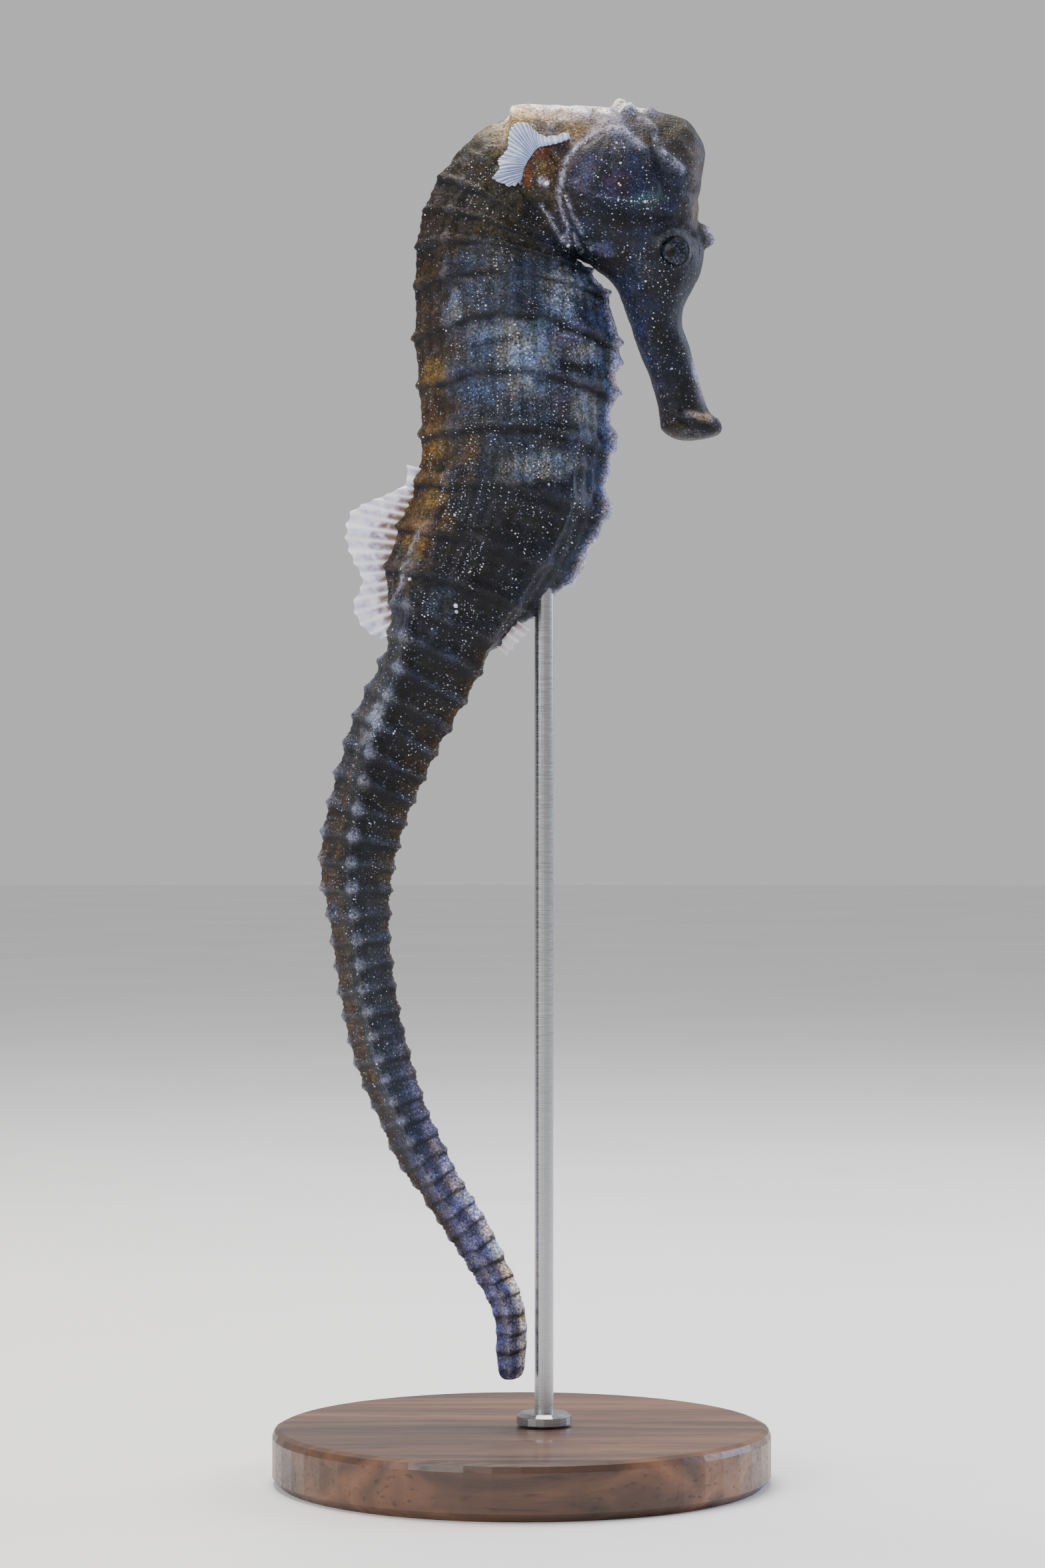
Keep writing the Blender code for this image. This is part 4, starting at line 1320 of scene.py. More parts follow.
        # Near white on top of the nape: partly a pale saddle, partly painted highlight of the top
        # light.
        shelf = ease(33.8, 34.8, grid.u) * (1.0 - ease(38.2, 39.0, grid.u))
        flat = 1.0 - ease(-0.965, -0.85, grid.depth)
        tint = self._over(tint, Paint.PEARL, 0.97 * flat * shelf[:, None])
        off = grid.ring - np.round(grid.ring)
        between = 0.5 - 0.5 * np.cos(2.0 * np.pi * off)
        scale = np.clip(grid.half[:, None] / 5.0, 0.35, 1.0)
        beside = np.maximum(
            bell(grid.beyond(1) - 1.1 * scale, 0.95 * scale),
            bell(grid.beyond(7) - 1.1 * scale, 0.95 * scale),
        )
        tail = (ease(6.0, 9.0, grid.u) * (1.0 - ease(19.0, 21.5, grid.u)))[:, None]
        tint = self._over(tint, Paint.INK, 0.9 * tail * beside * ease(0.25, 0.7, between))
        cloudy = 0.7 + 0.5 * lumps(grid.points, (2.0, 2.0, 2.0), 71.0)
        on_ring = 1.0 - ease(0.05, 0.45, between)
        tint = self._over(tint, Paint.STEEL, 0.45 * tail * on_ring * cloudy)
        line = np.maximum(bell(grid.corner[1], 0.6 * scale), bell(grid.corner[7], 0.6 * scale))
        tint = self._over(tint, Paint.SILVER, 0.14 * tail * line * (1.0 - ease(0.3, 0.95, between)))
        edge = np.maximum(bell(grid.corner[3], 0.7 * scale), bell(grid.corner[0], 0.7 * scale))
        return self._over(tint, Paint.BRONZE, 0.5 * edge * tail)

    @staticmethod
    def _over(tint: np.ndarray, paint: Paint, share: np.ndarray) -> np.ndarray:
        """Lays one paint over the tint by a share from 0 to 1."""
        part = share[..., None]
        return tint * (1.0 - part) + np.array(linear(paint.value)[:3]) * part


class Skin:
    """The one skin of the body, from the tail tip to the mouth."""

    # First and last place of each run of rings, and the columns kept of the grid.
    runs: tuple[tuple[float, float, int], ...] = ((0.0, 18.5, 2), (18.5, 48.5, 1), (48.5, 54.0, 2))
    # Width of the bake map in millimetres of skin.
    map_width: float = 116.0

    def __init__(self, form: BodyForm, relief: SkinRelief, paint: SkinPaint) -> None:
        """Shapes and paints the skin.

        Args:
            form: The body's sizes.
            relief: What stands on the bare form.
            paint: The colours.
        """
        self.grid = BodyGrid(form)
        self.points, self.crease, self.crest = relief.shape(self.grid)
        self.tint = paint.colour(self.grid, self.points)
        self.normals = self.grid.normals_of(self.points)
        self.place = self._map()
        self.index = np.full(self.points.shape[:2], -1)
        self.object = self._mesh()
        self.tree = BVHTree.FromPolygons(
            [tuple(v.co) for v in self.object.data.vertices],
            [tuple(p.vertices) for p in self.object.data.polygons],
        )

    def _map(self) -> np.ndarray:
        """Place of each point of the grid on the bake map, one column more to close."""
        grid = self.grid
        mean = grid.arc
        cut = np.searchsorted(grid.u, self.runs[0][1])
        mid = grid.around[:, -1:] / 2
        place = np.empty((*grid.around.shape, 2))
        place[..., 0] = (mean[:, None] + 0.0 * grid.around) / self.map_width
        place[..., 1] = (grid.around - mid) / self.map_width
        place[: cut + 1, :, 0] += 0.02
        place[: cut + 1, :, 1] += 0.19
        place[cut:, :, 0] += 0.02 - mean[cut] / self.map_width
        place[cut:, :, 1] += 0.68
        return place

    def _mesh(self) -> bpy.types.Object:
        """Makes the mesh, its colours and its bake map."""
        columns = self.grid.columns
        limits = [int(np.searchsorted(self.grid.u, run[0])) for run in self.runs]
        limits.append(len(self.grid.u) - 1)
        strides = [run[2] for run in self.runs]
        keep = []
        for row in range(len(self.grid.u)):
            part = max(i for i in range(3) if row >= limits[i])
            stride = strides[part]
            if row == limits[2]:
                stride = 1
            keep.append(stride)
        keep[limits[1]] = 1
        count = 0
        for row, stride in enumerate(keep):
            size = columns // stride
            self.index[row, ::stride] = np.arange(count, count + size)
            count += size
        faces: list[tuple[int, ...]] = []
        corners: list[tuple[tuple[int, int], ...]] = []

        def add(*cells: tuple[int, int]) -> None:
            """Adds a face from (row, column) cells, columns up to one past the last."""
            faces.append(tuple(int(self.index[r, c % columns]) for r, c in cells))
            corners.append(cells)

        for row in range(len(keep) - 1):
            low, high = keep[row], keep[row + 1]
            if low == high:
                for c in range(0, columns, low):
                    add((row, c), (row, c + low), (row + 1, c + low), (row + 1, c))
                continue
            coarse, fine = (row, row + 1) if low > high else (row + 1, row)
            for c in range(0, columns, 2):
                cells = (
                    ((coarse, c), (fine, c + 1), (fine, c)),
                    ((coarse, c), (coarse, c + 2), (fine, c + 1)),
                    ((coarse, c + 2), (fine, c + 2), (fine, c + 1)),
                )
                for triple in cells:
                    add(*(triple if coarse < fine else triple[::-1]))
        for row, turned in ((0, True), (len(keep) - 1, False)):
            ring = [(row, c) for c in range(0, columns, keep[row])]
            add(*(ring[::-1] if turned else ring))
        kept = self.index >= 0
        mesh = bpy.data.meshes.new("seahorse_skin")
        mesh.from_pydata((self.points[kept] * MM).tolist(), [], faces)
        mesh.update()
        for face in mesh.polygons:
            face.use_smooth = True
        tint = mesh.color_attributes.new("tint", "FLOAT_COLOR", "POINT")
        rgba = np.ones((count, 4), np.float32)
        rgba[:, :3] = self.tint[kept]
        tint.data.foreach_set("color", rgba.ravel())
        for name, values in (("crease", self.crease), ("crest", self.crest)):
            layer = mesh.attributes.new(name, "FLOAT", "POINT")
            layer.data.foreach_set("value", values[kept].astype(np.float32))
        uv = mesh.uv_layers.new(name=BAKE_MAP)
        flat = np.array([self.place[r, c] for cells in corners for r, c in cells], np.float32)
        uv.data.foreach_set("uv", flat.ravel())
        made = bpy.data.objects.new("seahorse_skin", mesh)
        bpy.context.collection.objects.link(made)
        return made

    def at(self, row: float, column: float) -> tuple[Vector, Vector, tuple[float, float]]:
        """Point in metres, normal and map place between the rings and columns."""
        r, c = int(row), int(column)
        s, t = row - r, column - c
        share = np.array([[(1 - s) * (1 - t), (1 - s) * t], [s * (1 - t), s * t]])[..., None]
        around = [c % self.grid.columns, (c + 1) % self.grid.columns]
        point = (self.points[r : r + 2][:, around] * share).sum(axis=(0, 1)) * MM
        normal = (self.normals[r : r + 2][:, around] * share).sum(axis=(0, 1))
        place = (self.place[r : r + 2, c : c + 2] * share).sum(axis=(0, 1))
        return Vector(point), Vector(normal).normalized(), (float(place[0]), float(place[1]))

    def cast(self, x: float, z: float, side: Side) -> tuple[Vector, Vector, int] | None:
        """Point, normal and face of the skin where the side view shows (x, z).

        Args:
            x: Place towards the snout, in millimetres.
            z: Height in millimetres.
            side: Side looked at.

        Returns:
            Point in metres, outward normal and face index, or None off the body.
        """
        start = Vector((x * MM, side.value * 0.05, z * MM))
        hit, normal, face, _ = self.tree.ray_cast(start, Vector((0.0, -side.value, 0.0)))
        if hit is None:
            return None
        return hit, normal, face

    def map_at(self, face: int) -> tuple[float, float]:
        """Middle of a face on the bake map."""
        polygon = self.object.data.polygons[face]
        layer = self.object.data.uv_layers[BAKE_MAP].data
        places = [layer[i].uv for i in polygon.loop_indices]
        return (sum(p[0] for p in places) / len(places), sum(p[1] for p in places) / len(places))


# ---------------------------------------------------------------- pearls


@dataclass(frozen=True)
class DotField:
    """Rows of dots inside a leaning oval of the side view."""

    x: float
    z: float
    long: float
    short: float
    turn: float
    row_turn: float
    row_gap: float
    dot_gap: float
    radius: float
    keep: float


@dataclass
class Pearls:
    """Raised pale dots in rows over the skin, set by Geometry Nodes."""

    skin: Skin
    seed: int = 7
    chains: int = 128
    # Dome height over its radius.
    rise: float = 0.55
    # Middle radius, spread and greatest radius of a chain's dots.
    chain_dots: tuple[float, float, float] = (0.063, 0.36, 0.19)
    # Gap, scatter, share set and radius of the dots strung on a ridge.
    string_dots: tuple[float, float, float, float] = (0.3, 0.14, 0.75, 0.07)
    # Place on the body and the share of a chain's dots that is set there.
    chain_keep: tuple[tuple[float, float], ...] = (
        (7.0, 0.0),
        (12.0, 0.12),
        (16.0, 0.22),
        (20.0, 0.45),
        (24.0, 0.9),
        (28.0, 1.0),
        (30.0, 0.45),
        (34.0, 0.1),
    )
    fields: tuple[DotField, ...] = (
        DotField(9.8, 151.0, 5.6, 4.6, 20, -45, 1.05, 0.72, 0.15, 0.85),
        DotField(11.5, 146.5, 5.0, 1.8, 10, -30, 0.95, 0.8, 0.15, 0.55),
        DotField(14.2, 148.2, 2.8, 1.1, 5, 8, 0.75, 0.62, 0.2, 0.8),
        DotField(14.3, 141.0, 3.4, 2.8, -30, -60, 0.95, 0.85, 0.17, 0.6),
        DotField(16.8, 133.0, 2.6, 8.5, 16, 76, 0.95, 1.0, 0.15, 0.6),
        DotField(17.6, 137.6, 1.8, 2.4, 0, 60, 0.9, 1.0, 0.14, 0.5),
        DotField(6.0, 144.6, 2.6, 2.0, -40, -45, 0.8, 0.8, 0.13, 0.6),
        DotField(17.6, 152.5, 3.4, 5.0, 0, 60, 1.3, 1.4, 0.12, 0.35),
        DotField(2.8, 152.2, 2.2, 2.0, 0, 30, 0.7, 0.75, 0.12, 0.7),
        DotField(-5.0, 146.0, 7.5, 8.5, 0, 60, 1.7, 1.5, 0.12, 0.3),
    )
    marks: tuple[tuple[float, float, float], ...] = (
        (-7.6, 101.6, 0.32),
        (-7.5, 100.9, 0.26),
        (-12.9, 104.7, 0.25),
        (10.2, 158.8, 0.34),
        (2.9, 150.1, 0.36),
        (5.4, 143.4, 0.3),
    )

    def make(self, material: bpy.types.Material) -> bpy.types.Object:
        """Sets a pearl on each root and returns them as one plain mesh.

        Args:
            material: The pearls' finish.

        Returns:
            The joined pearls.
        """
        roots = self._roots()
        mesh = bpy.data.meshes.new("skin_pearls")
        mesh.from_pydata([tuple(r[0]) for r in roots], [], [])
        for name, kind, values in (
            ("facing", "FLOAT_VECTOR", [c for r in roots for c in r[1]]),
            ("reach", "FLOAT", [r[2] * MM for r in roots]),
            ("root", "FLOAT_VECTOR", [c for r in roots for c in (*r[3], 0.0)]),
        ):
            layer = mesh.attributes.new(name, kind, "POINT")
            layer.data.foreach_set("vector" if kind == "FLOAT_VECTOR" else "value", values)
        made = bpy.data.objects.new("skin_pearls", mesh)
        bpy.context.collection.objects.link(made)
        tree = self._tree()
        modifier = made.modifiers.new("pearls", "NODES")
        modifier.node_group = tree
        names = {item.name: item.identifier for item in tree.interface.items_tree}
        modifier[names["Rise"]] = self.rise
        modifier[names["Finish"]] = material
        graph = bpy.context.evaluated_depsgraph_get()
        plain = bpy.data.meshes.new_from_object(made.evaluated_get(graph))
        made.modifiers.clear()
        made.data = plain
        self._map(plain)
        LOG.info("pearls: %d", len(roots))
        return made

    def _roots(self) -> list[tuple[Vector, Vector, float, tuple[float, float]]]:
        """Root point, normal, radius and map place of each pearl."""
        pick = np.random.default_rng(self.seed)
        roots = []
        for side in Side:
            places = [(x, z, r) for x, z, r in self.marks]
            for dots in self.fields:
                places += self._field(dots, pick)
            for ridge in SkinRelief().ridges[:10]:
                places += self._string(ridge.line, pick)
            for x, z, radius in places:
                found = self.skin.cast(x, z, side)
                if found is None or abs(found[1][1]) < 0.25:
                    continue
                hit, normal, face = found
                roots.append((hit - normal * 0.03 * MM, normal, radius, self.skin.map_at(face)))
        return roots + self._chains(pick)

    def _chains(self, pick: np.random.Generator) -> list[Any]:
        """Pearls in lengthwise chains over the trunk and the thick part of the tail."""
        grid = self.skin.grid
        first, last = np.searchsorted(grid.u, (self.chain_keep[0][0], self.chain_keep[-1][0]))
        roots = []
        for i in range(self.chains):
            start = i * grid.columns / self.chains
            phase, lean = pick.uniform(0.0, 6.3), pick.uniform(0.4, 1.1)
            row = first + pick.uniform(0.0, 2.0)
            while row < last:
                column = start + lean * math.sin(row * 0.06 + phase) + pick.normal(0.0, 0.2)
                column = min(max(column, 0.0), grid.columns - 1e-3)
                point, normal, place = self.skin.at(row, column)
                depth = abs(float(grid.depth[int(row), int(column)]))
                clump = 0.6 + 2.6 * noise.noise(point / MM * 0.28)
                side = 1.0 - 0.8 * min(max((depth - 0.45) / 0.4, 0.0), 1.0)
                keep = float(table_at(self.chain_keep, grid.u[int(row)])) * clump * side
                if pick.random() < keep:
                    middle, spread, most = self.chain_dots
                    radius = min(middle * pick.lognormal(0.0, spread), most)
                    roots.append((point - normal * 0.02 * MM, normal, radius, place))
                row += pick.uniform(1.0, 1.9)
        return roots

    def _string(self, line: Any, pick: np.random.Generator) -> list[tuple[float, float, float]]:
        """Places and radii of fine dots strung along a ridge of the head."""
        points = Fin.resample(np.array(line, float), 200)
        length = float(np.linalg.norm(np.diff(points, axis=0), axis=1).sum())
        found = []
        gap, scatter, share, radius = self.string_dots
        for i in range(int(length / gap)):
            x, z = points[min(int(i * gap / length * 200), 199)]
            x, z = x + pick.normal(0.0, scatter), z + pick.normal(0.0, scatter)
            if pick.random() < share:
                found.append((float(x), float(z), radius * float(pick.lognormal(0.0, 0.3))))
        return found

    @staticmethod
    def _field(dots: DotField, pick: np.random.Generator) -> list[tuple[float, float, float]]:
        """Places and radii of one field's dots."""
        turn, lean = math.radians(dots.row_turn), math.radians(dots.turn)
        reach = max(dots.long, dots.short)
        found = []
        row_gap, dot_gap = 0.62 * dots.row_gap, 0.5 * dots.dot_gap
        for i in range(int(2 * reach / row_gap) + 1):
            across = -reach + i * row_gap
            phase, sway = pick.uniform(0.0, 6.3), pick.uniform(0.08, 0.2)
            for j in range(int(2 * reach / dot_gap) + 1):
                along = -reach + j * dot_gap + pick.normal(0.0, 0.14 * dot_gap)
                off = across + sway * math.sin(along * 0.8 + phase) + pick.normal(0.0, 0.08)
                x = along * math.cos(turn) - off * math.sin(turn)
                z = along * math.sin(turn) + off * math.cos(turn)
                a = x * math.cos(lean) + z * math.sin(lean)
                b = z * math.cos(lean) - x * math.sin(lean)
                inside = math.hypot(a / dots.long, b / dots.short)
                if inside > 1.0 or pick.random() > dots.keep * (1.15 - 0.4 * inside):
                    continue
                radius = 0.42 * dots.radius * pick.lognormal(0.0, 0.38)
                found.append((dots.x + x, dots.z + z, min(radius, 2.0 * dots.radius)))
        return found

    def _tree(self) -> bpy.types.NodeTree:
        """Geometry Nodes that stand a small dome on every root point."""
        tree = bpy.data.node_groups.new("pearl_setting", "GeometryNodeTree")
        face = tree.interface
        face.new_socket("Roots", in_out="INPUT", socket_type="NodeSocketGeometry")
        face.new_socket("Rise", in_out="INPUT", socket_type="NodeSocketFloat")
        face.new_socket("Finish", in_out="INPUT", socket_type="NodeSocketMaterial")
        face.new_socket("Pearls", in_out="OUTPUT", socket_type="NodeSocketGeometry")
        given = add_node(tree, "NodeGroupInput").outputs
        ball = add_node(tree, "GeometryNodeMeshIcoSphere", {"Radius": 1.0, "Subdivisions": 1})
        facing = add_node(
            tree, "GeometryNodeInputNamedAttribute", {"Name": "facing"}, data_type="FLOAT_VECTOR"
        ).outputs["Attribute"]
        reach = add_node(
            tree, "GeometryNodeInputNamedAttribute", {"Name": "reach"}, data_type="FLOAT"
        ).outputs["Attribute"]
        turn = add_node(
            tree, "FunctionNodeAlignRotationToVector", {"Vector": facing}, axis="Z"
        ).outputs["Rotation"]
        rise = add_node(
            tree, "ShaderNodeMath", {0: reach, 1: given["Rise"]}, operation="MULTIPLY"
        ).outputs[0]
        size = add_node(tree, "ShaderNodeCombineXYZ", {"X": reach, "Y": reach, "Z": rise})
        placed = add_node(
            tree,
            "GeometryNodeInstanceOnPoints",
            {
                "Points": given["Roots"],
                "Instance": ball.outputs["Mesh"],
                "Rotation": turn,
                "Scale": size.outputs["Vector"],
            },
        ).outputs["Instances"]
        real = add_node(tree, "GeometryNodeRealizeInstances", {"Geometry": placed})
        smooth = add_node(
            tree, "GeometryNodeSetShadeSmooth", {"Geometry": real.outputs["Geometry"]}
        )
        dressed = add_node(
            tree,
            "GeometryNodeSetMaterial",
            {"Geometry": smooth.outputs["Geometry"], "Material": given["Finish"]},
        )
        add_node(tree, "NodeGroupOutput", {"Pearls": dressed.outputs["Geometry"]})
        return tree

    @staticmethod
    def _map(mesh: bpy.types.Mesh) -> None:
        """Gives each pearl a small patch of the bake map at its root's place."""
        count = len(mesh.vertices)
        roots = np.empty(count * 3, np.float32)
        mesh.attributes["root"].data.foreach_get("vector", roots)
        roots = roots.reshape(-1, 3)[:, :2]
        size = 12
        spin = np.arange(count) % size
        local = np.column_stack([np.cos(spin * 2.4), np.sin(spin * 2.4)]) * 0.0015
        local *= np.sqrt((spin + 0.5) / size)[:, None]
        loops = np.empty(len(mesh.loops), np.int32)
        mesh.loops.foreach_get("vertex_index", loops)
        layer = mesh.uv_layers.new(name=BAKE_MAP)
        layer.data.foreach_set("uv", (roots + local)[loops].astype(np.float32).ravel())


# ---------------------------------------------------------------- fins and eyes


@dataclass
class Fin:
    """A thin fin between a root line and an outer edge, stiffened by rays."""

    name: str
    root: np.ndarray
    edge: np.ndarray
    rays: int
    thickness: float
    ripple: float
    scallop: float
    bulge: float = 0.0
    paired: bool = False
    per_ray: int = 6
    along: int = 26

    @staticmethod
    def resample(rows: np.ndarray, count: int) -> np.ndarray:
        """Even, smooth points along a line of points."""
        points = np.asarray(rows, float)
        dense = spline(points, np.linspace(0.0, len(points) - 1.0, 40 * len(points)))
        steps = np.linalg.norm(np.diff(dense, axis=0), axis=1)
        arcs = np.concatenate([[0.0], np.cumsum(steps)])
        wanted = np.linspace(0.0, arcs[-1], count)
        return np.column_stack([np.interp(wanted, arcs, column) for column in dense.T])

    def make(self, material: bpy.types.Material) -> bpy.types.Object:
        """Builds the fin as one closed sheet, thicker along its rays.

        Args:
            material: The membrane's finish.

        Returns:
            The fin.
        """
        across = (self.rays - 1) * self.per_ray + 1
        if self.paired:
            places = np.linspace(0.0, len(self.root) - 1.0, across)
            root, edge = spline(self.root, places), spline(self.edge, places)
        else:
            root, edge = self.resample(self.root, across), self.resample(self.edge, across)
        share = np.linspace(0.0, 1.0, self.along)[None, :, None]
        phase = np.arange(across) / self.per_ray
        ray = np.abs(np.cos(np.pi * phase)) ** 4
        flow = edge - root
        span = np.gradient(root + edge, axis=0)
        normal = np.cross(flow, span)
        normal /= np.linalg.norm(normal, axis=1, keepdims=True)
        if normal[:, 1].mean() > 0.0:
            normal = -normal
        reach = 1.0 - self.scallop * (1.0 - ray[:, None, None]) * share**4
        sheet = root[:, None] + flow[:, None] * share * reach
        wave = self.ripple * np.sin(2.0 * np.pi * phase * 0.5)[:, None, None] * share
        wave = wave + 0.55 * self.ripple * (ray[:, None, None] - 0.5) * np.sin(2.6 * share)
        wave = wave + self.bulge * np.sin(np.pi * share) + 0.35 * self.ripple * np.sin(
            5.0 * share + phase[:, None, None] * 0.7
        )
        sheet = sheet + normal[:, None] * wave
        full = self.thickness * (0.35 + 0.65 * ray[:, None, None]) * (1.15 - 0.75 * share)
        near = sheet + normal[:, None] * full / 2
        far = sheet - normal[:, None] * full / 2
        return self._close(near, far, ray, material)

    def _close(
        self, near: np.ndarray, far: np.ndarray, ray: np.ndarray, material: bpy.types.Material
    ) -> bpy.types.Object:
        """Joins the two faces round their rim and stores ray and share."""
        rows, columns = near.shape[:2]
        half = rows * columns
        points = np.vstack([near.reshape(-1, 3), far.reshape(-1, 3)]) * MM
        faces = []
        for i in range(rows - 1):
            for j in range(columns - 1):
                a = i * columns + j
                faces.append((a, a + 1, a + columns + 1, a + columns))
                faces.append((half + a, half + a + columns, half + a + columns + 1, half + a + 1))
        rim = [i * columns for i in range(rows)]
        rim += [(rows - 1) * columns + j for j in range(1, columns)]
        rim += [i * columns + columns - 1 for i in range(rows - 2, -1, -1)]
        rim += list(range(columns - 2, 0, -1))
        for a, b in zip(rim, rim[1:] + rim[:1]):
            faces.append((a, b, b + half, a + half))
        mesh = bpy.data.meshes.new(self.name)
        mesh.from_pydata(points.tolist(), [], faces)
        turn_out(mesh)
        shares = np.tile(np.linspace(0.0, 1.0, columns), rows)
        for name, values in (("share", shares), ("ray", np.repeat(ray, columns))):
            layer = mesh.attributes.new(name, "FLOAT", "POINT")
            layer.data.foreach_set("value", np.tile(values, 2).astype(np.float32))
        mesh.materials.append(material)
        made = bpy.data.objects.new(self.name, mesh)
        bpy.context.collection.objects.link(made)
        return made


def turn_out(mesh: bpy.types.Mesh) -> None:
    """Makes every face point outwards and shades the mesh smooth."""
    shape = bmesh.new()
    shape.from_mesh(mesh)
    bmesh.ops.recalc_face_normals(shape, faces=shape.faces)
    shape.to_mesh(mesh)
    shape.free()
    for face in mesh.polygons:
        face.use_smooth = True


@dataclass(frozen=True)
class FinSet:
    """Sizes of the dorsal, anal and two pectoral fins."""

    dorsal_root: tuple[float, float] = (19.55, 23.7)
    dorsal_edge: tuple[tuple[float, float], ...] = (
        (-16.2, 97.9),
        (-17.9, 98.7),
        (-19.1, 100.1),
        (-19.7, 102.0),
        (-18.9, 103.6),
        (-18.7, 105.2),
        (-19.9, 107.4),
        (-20.6, 109.8),
        (-20.4, 111.8),
        (-19.6, 113.1),
        (-17.2, 114.2),
        (-14.8, 115.2),
        (-13.5, 116.2),
        (-13.4, 118.2),
    )
    anal_root: tuple[float, float] = (20.15, 20.85)
    anal_edge: tuple[float, float] = (20.05, 20.8)
    # Rays of the fan behind the gill: root x, root z, tip x, tip z.
    pectoral_rays: tuple[tuple[float, float, float, float], ...] = (
        (5.45, 155.5, 5.35, 156.1),
        (4.5, 155.05, 4.4, 155.8),
        (3.3, 154.7, 3.1, 155.55),
        (2.5, 154.5, 2.2, 155.8),
        (2.0, 154.35, 1.45, 156.4),
        (1.7, 154.1, 0.7, 157.2),
        (1.5, 153.9, -0.4, 157.35),
        (1.3, 153.6, -1.2, 156.8),
        (1.1, 153.3, -1.6, 155.6),
        (0.9, 153.0, -1.6, 154.4),
        (0.75, 152.8, -2.4, 153.35),
        (0.6, 152.5, -2.8, 152.8),
        (0.45, 152.2, -2.6, 151.9),
        (0.3, 151.9, -3.2, 151.05),
        (0.2, 151.5, -3.4, 150.7),
        (0.1, 151.0, -2.3, 150.1),
        (0.0, 150.6, -1.4, 149.7),
        (-0.2, 150.2, -0.6, 149.95),
    )

    def median_line(
        self, form: BodyForm, first: float, last: float, count: int, offset: float
    ) -> np.ndarray:
        """Points just off the back in the middle plane, or off the belly below zero."""
        rows = spline(form.stations, np.linspace(first, last, count))
        back = np.column_stack([rows[:, 0], np.zeros(count), rows[:, 1]])
        belly = np.column_stack([rows[:, 2], np.zeros(count), rows[:, 3]])
        away = back - belly
        away /= np.linalg.norm(away, axis=1, keepdims=True)
        return (back if offset > 0.0 else belly) + away * offset

    def dorsal(self, form: BodyForm) -> Fin:
        """The fan on the back."""
        root = self.median_line(form, *self.dorsal_root, 12, 0.001) + (0.8, 0.0, 0.0)
        edge = np.array([(x, 0.0, z) for x, z in self.dorsal_edge])
        return Fin("fin_dorsal", root, edge, 18, 0.42, 0.25, 0.05)

    def anal(self, form: BodyForm) -> Fin:
        """The tiny fin under the belly."""
        root = self.median_line(form, *self.anal_root, 6, -0.001) - (0.6, 0.0, -0.6)
        edge = self.median_line(form, *self.anal_edge, 6, -1.9)
        return Fin("fin_anal", root, edge, 5, 0.3, 0.08, 0.08)

    def pectoral(self, skin: Skin, side: Side) -> Fin:
        """The fan behind the gill cover of one side.

        Args:
            skin: The skin it stands on.
            side: The side it is on.

        Returns:
            The fin, not yet built.
        """
        root, edge = [], []
        for root_x, root_z, tip_x, tip_z in self.pectoral_rays:
            root.append((root_x, self._out(skin, root_x, root_z, side, 0.0), root_z))
            edge.append((tip_x, self._out(skin, tip_x, tip_z, side, 1.3), tip_z))
        name = f"fin_pectoral_{side.name.lower()}"
        return Fin(name, np.array(root), np.array(edge), 35, 0.26, 0.14, 0.03, 0.25, True, 4)

    @staticmethod
    def _out(skin: Skin, x: float, z: float, side: Side, gap: float) -> float:
        """Y in millimetres at a gap off the skin where the side view shows (x, z)."""
        found = skin.cast(x, z, side)
        width = abs(found[0][1]) / MM if found else 5.0
        return side.value * (width + gap)


@dataclass(frozen=True)
class Eye:
    """One glass eye, its gaze turned a little forward and down."""

    side: Side
    x: float = 17.6
    y: float = 3.5
    z: float = 142.5
    radius: float = 2.1
    gaze_x: float = 17.1
    gaze_z: float = 142.2
    segments: int = 48
    rows: int = 32

    def make(self, material: bpy.types.Material) -> bpy.types.Object:
        """Builds the ball and stores each point's distance from the line of sight.

        Args:
            material: The eye's finish.

        Returns:
            The eye.
        """
        centre = Vector((self.x, self.side.value * self.y, self.z))
        points = [centre + Vector((0.0, -self.radius, 0.0))]
        for i in range(1, self.rows):
            turn = math.pi * i / self.rows
            for j in range(self.segments):
                spin = 2.0 * math.pi * j / self.segments
                wide = math.sin(turn)
                away = Vector((wide * math.cos(spin), -math.cos(turn), wide * math.sin(spin)))
                points.append(centre + away * self.radius)
        points.append(centre + Vector((0.0, self.radius, 0.0)))
        faces = []
        last = len(points) - 1
        for j in range(self.segments):
            k = (j + 1) % self.segments
            faces.append((0, 1 + j, 1 + k))
            for i in range(self.rows - 2):
                a, b = 1 + i * self.segments + j, 1 + i * self.segments + k
                faces.append((a, a + self.segments, b + self.segments, b))
            end = 1 + (self.rows - 2) * self.segments
            faces.append((last, end + k, end + j))
        name = f"eye_glass_{self.side.name.lower()}"
        mesh = bpy.data.meshes.new(name)
        mesh.from_pydata([tuple(p * MM) for p in points], [], faces)
        turn_out(mesh)
        depth = math.sqrt(
            self.radius**2 - (self.gaze_x - self.x) ** 2 - (self.gaze_z - self.z) ** 2
        )
        sight = Vector(
            (self.gaze_x - self.x, self.side.value * depth, self.gaze_z - self.z)
        ).normalized()
        away = []
        for p in points:
            reach = (p - centre).dot(sight)
            flat = ((p - centre) - sight * reach).length
            away.append(flat if reach > 0.0 else 2.0 * self.radius)
        layer = mesh.attributes.new("axis_mm", "FLOAT", "POINT")
        layer.data.foreach_set("value", away)
        mesh.materials.append(material)
        made = bpy.data.objects.new(name, mesh)
        bpy.context.collection.objects.link(made)
        return made


# ---------------------------------------------------------------- studio


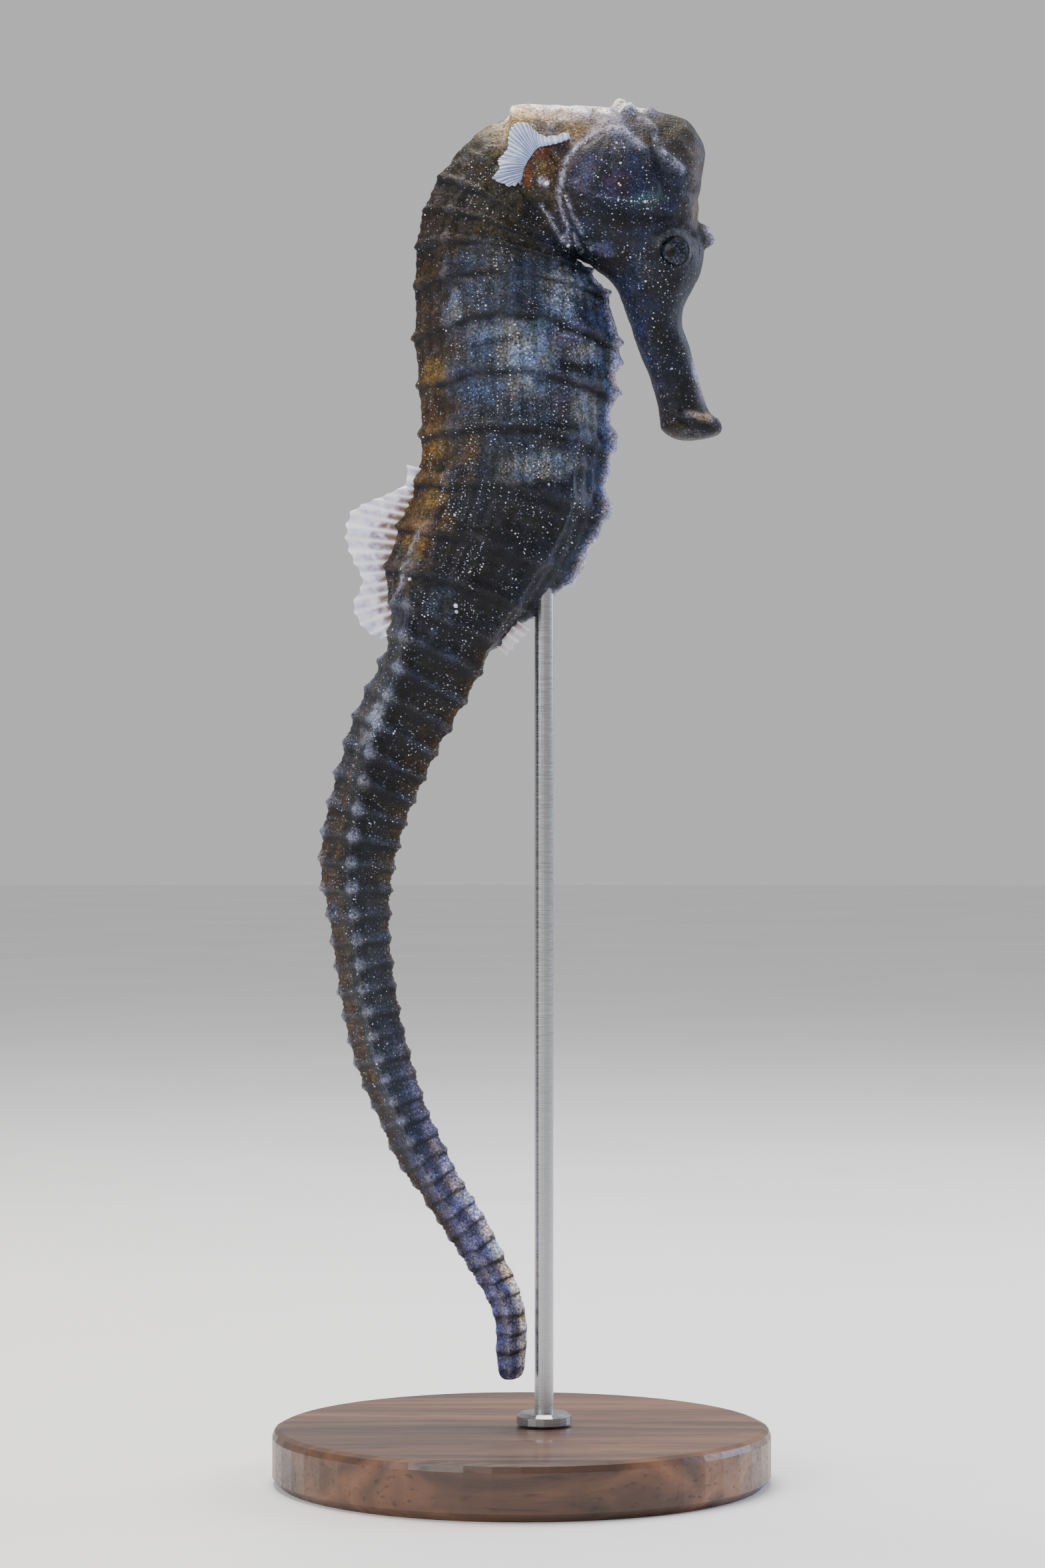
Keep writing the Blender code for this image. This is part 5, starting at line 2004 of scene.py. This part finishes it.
@dataclass(frozen=True)
class Studio:
    """Pale floor, soft lights and a level camera on the animal's right side, in metres."""

    camera_distance: float = 0.506
    camera_height: float = 0.0811
    frame_height: float = 0.18228
    floor_radius: float = 3.0
    # Name, place, size, power in watts and colour.
    lights: tuple[tuple[str, tuple[float, float, float], float, float, str], ...] = (
        ("top_light", (-0.05, 0.12, 0.62), 0.3, 5.4, "#fff6ec"),
        ("side_light", (-0.45, -0.5, 0.4), 0.45, 3.4, "#ffffff"),
        ("rim_light", (0.5, 0.25, 0.3), 0.35, 3.0, "#cfdcff"),
    )

    def floor(self) -> bpy.types.Object:
        """Builds the round pale floor."""
        count = 64
        points = [(0.0, 0.0, 0.0)]
        for i in range(count):
            turn = 2.0 * math.pi * i / count
            reach = self.floor_radius
            points.append((reach * math.cos(turn), reach * math.sin(turn), 0.0))
        mesh = bpy.data.meshes.new("studio_floor")
        mesh.from_pydata(points, [], [(0, 1 + i, 1 + (i + 1) % count) for i in range(count)])
        mesh.materials.append(StudioPaper().make())
        made = bpy.data.objects.new("studio_floor", mesh)
        bpy.context.collection.objects.link(made)
        return made

    @staticmethod
    def light(
        name: str, place: tuple[float, float, float], size: float, watts: float, code: str
    ) -> None:
        """Adds one square soft light aimed at the middle of the model."""
        data = bpy.data.lights.new(name, "AREA")
        data.shape = "SQUARE"
        data.size = size
        data.energy = watts
        data.color = linear(code)[:3]
        lamp = bpy.data.objects.new(name, data)
        lamp.location = place
        aim = Vector((0.0, 0.0, 0.1)) - Vector(place)
        lamp.rotation_euler = aim.to_track_quat("-Z", "Y").to_euler()
        bpy.context.collection.objects.link(lamp)

    def sky(self) -> None:
        """Fills the world with even pale light."""
        world = bpy.data.worlds.new("studio_air")
        bpy.context.scene.world = world
        world.use_nodes = True
        world.node_tree.nodes.clear()
        back = add_node(
            world.node_tree,
            "ShaderNodeBackground",
            {"Color": linear("#ececee"), "Strength": 0.66},
        )
        add_node(world.node_tree, "ShaderNodeOutputWorld", {"Surface": back.outputs[0]})

    def camera(self) -> None:
        """Sets the level camera, the frame's height spanning the whole model."""
        data = bpy.data.cameras.new("studio_camera")
        data.sensor_width = 36.0
        data.lens = 36.0 * self.camera_distance / self.frame_height
        data.clip_start = 0.01
        data.clip_end = 20.0
        camera = bpy.data.objects.new("studio_camera", data)
        camera.location = (0.0001, -self.camera_distance, self.camera_height)
        camera.rotation_euler = (math.pi / 2, 0.0, 0.0)
        bpy.context.collection.objects.link(camera)
        bpy.context.scene.camera = camera

    def build(self) -> None:
        """Sets up floor, lights, air and camera."""
        self.floor()
        self.sky()
        for name, place, size, watts, code in self.lights:
            self.light(name, place, size, watts, code)
        self.camera()


# ---------------------------------------------------------------- main


FLESH = (
    "head",
    "snout",
    "mouth",
    "coronet",
    "nape",
    "neck",
    "trunk_upper",
    "trunk_middle",
    "trunk_lower",
    "tail_1",
    "tail_2",
    "tail_3",
    "tail_4",
    "tail_5",
    "tail_6",
)


def place_piece(piece: bpy.types.Object, slot: str, *nodes: str) -> None:
    """Hangs a finished piece on the root body in place of its nodes."""
    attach(piece, "root")
    if nodes:
        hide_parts(*nodes)
    LOG.info("%s: %d faces", piece.name, len(piece.data.polygons))


def dress_stand(nodes: dict[str, bpy.types.Object]) -> None:
    """Gives the carried-over stand nodes their wood and steel."""
    for name, finish in (("stand_base", OiledWalnut()), ("stand_rod", BrushedSteel())):
        data = nodes[name].data
        material = finish.make()
        data.materials.clear()
        data.materials.append(material)
        LOG.info("%s: dressed", name)


def corners(box: tuple[Vector, Vector]) -> list[list[float]]:
    """A box as plain lists of numbers."""
    return [list(map(float, corner)) for corner in box]


def main() -> None:
    """Builds the whole scene in order."""
    logging.basicConfig(level=logging.INFO, format="%(message)s")
    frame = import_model()
    form = BodyForm()
    skin = Skin(form, SkinRelief(), SkinPaint())
    skin.object.data.materials.append(PaintedSkin().make())
    place_piece(skin.object, "skin_trunk", *FLESH)
    place_piece(Pearls(skin).make(PearlEnamel().make()), "skin_trunk")
    fins = FinSet()
    white = FinMembrane("milky_membrane", "#9c9cd0", "#e0deee", "#62430c").make()
    blue = FinMembrane("blue_white_membrane", "#3f68ac", "#86a6e2", "#6f86c4").make()
    pink = FinMembrane("pink_membrane", "#b09aa8", "#e2cfd6", "#7a5636").make()
    place_piece(fins.dorsal(form).make(white), "fin_membrane", "dorsal_fin")
    place_piece(fins.anal(form).make(pink), "fin_membrane", "anal_fin")
    glass = GlassEye().make()
    for side in Side:
        word = side.name.lower()
        fin = fins.pectoral(skin, side).make(blue)
        place_piece(fin, "fin_membrane", f"pectoral_fin_{word}")
        place_piece(Eye(side).make(glass), "eye", f"eye_{word}")
    dress_stand(frame["nodes"])
    Studio().build()
    LOG.info("sizes written")


if __name__ == "__main__":
    main()
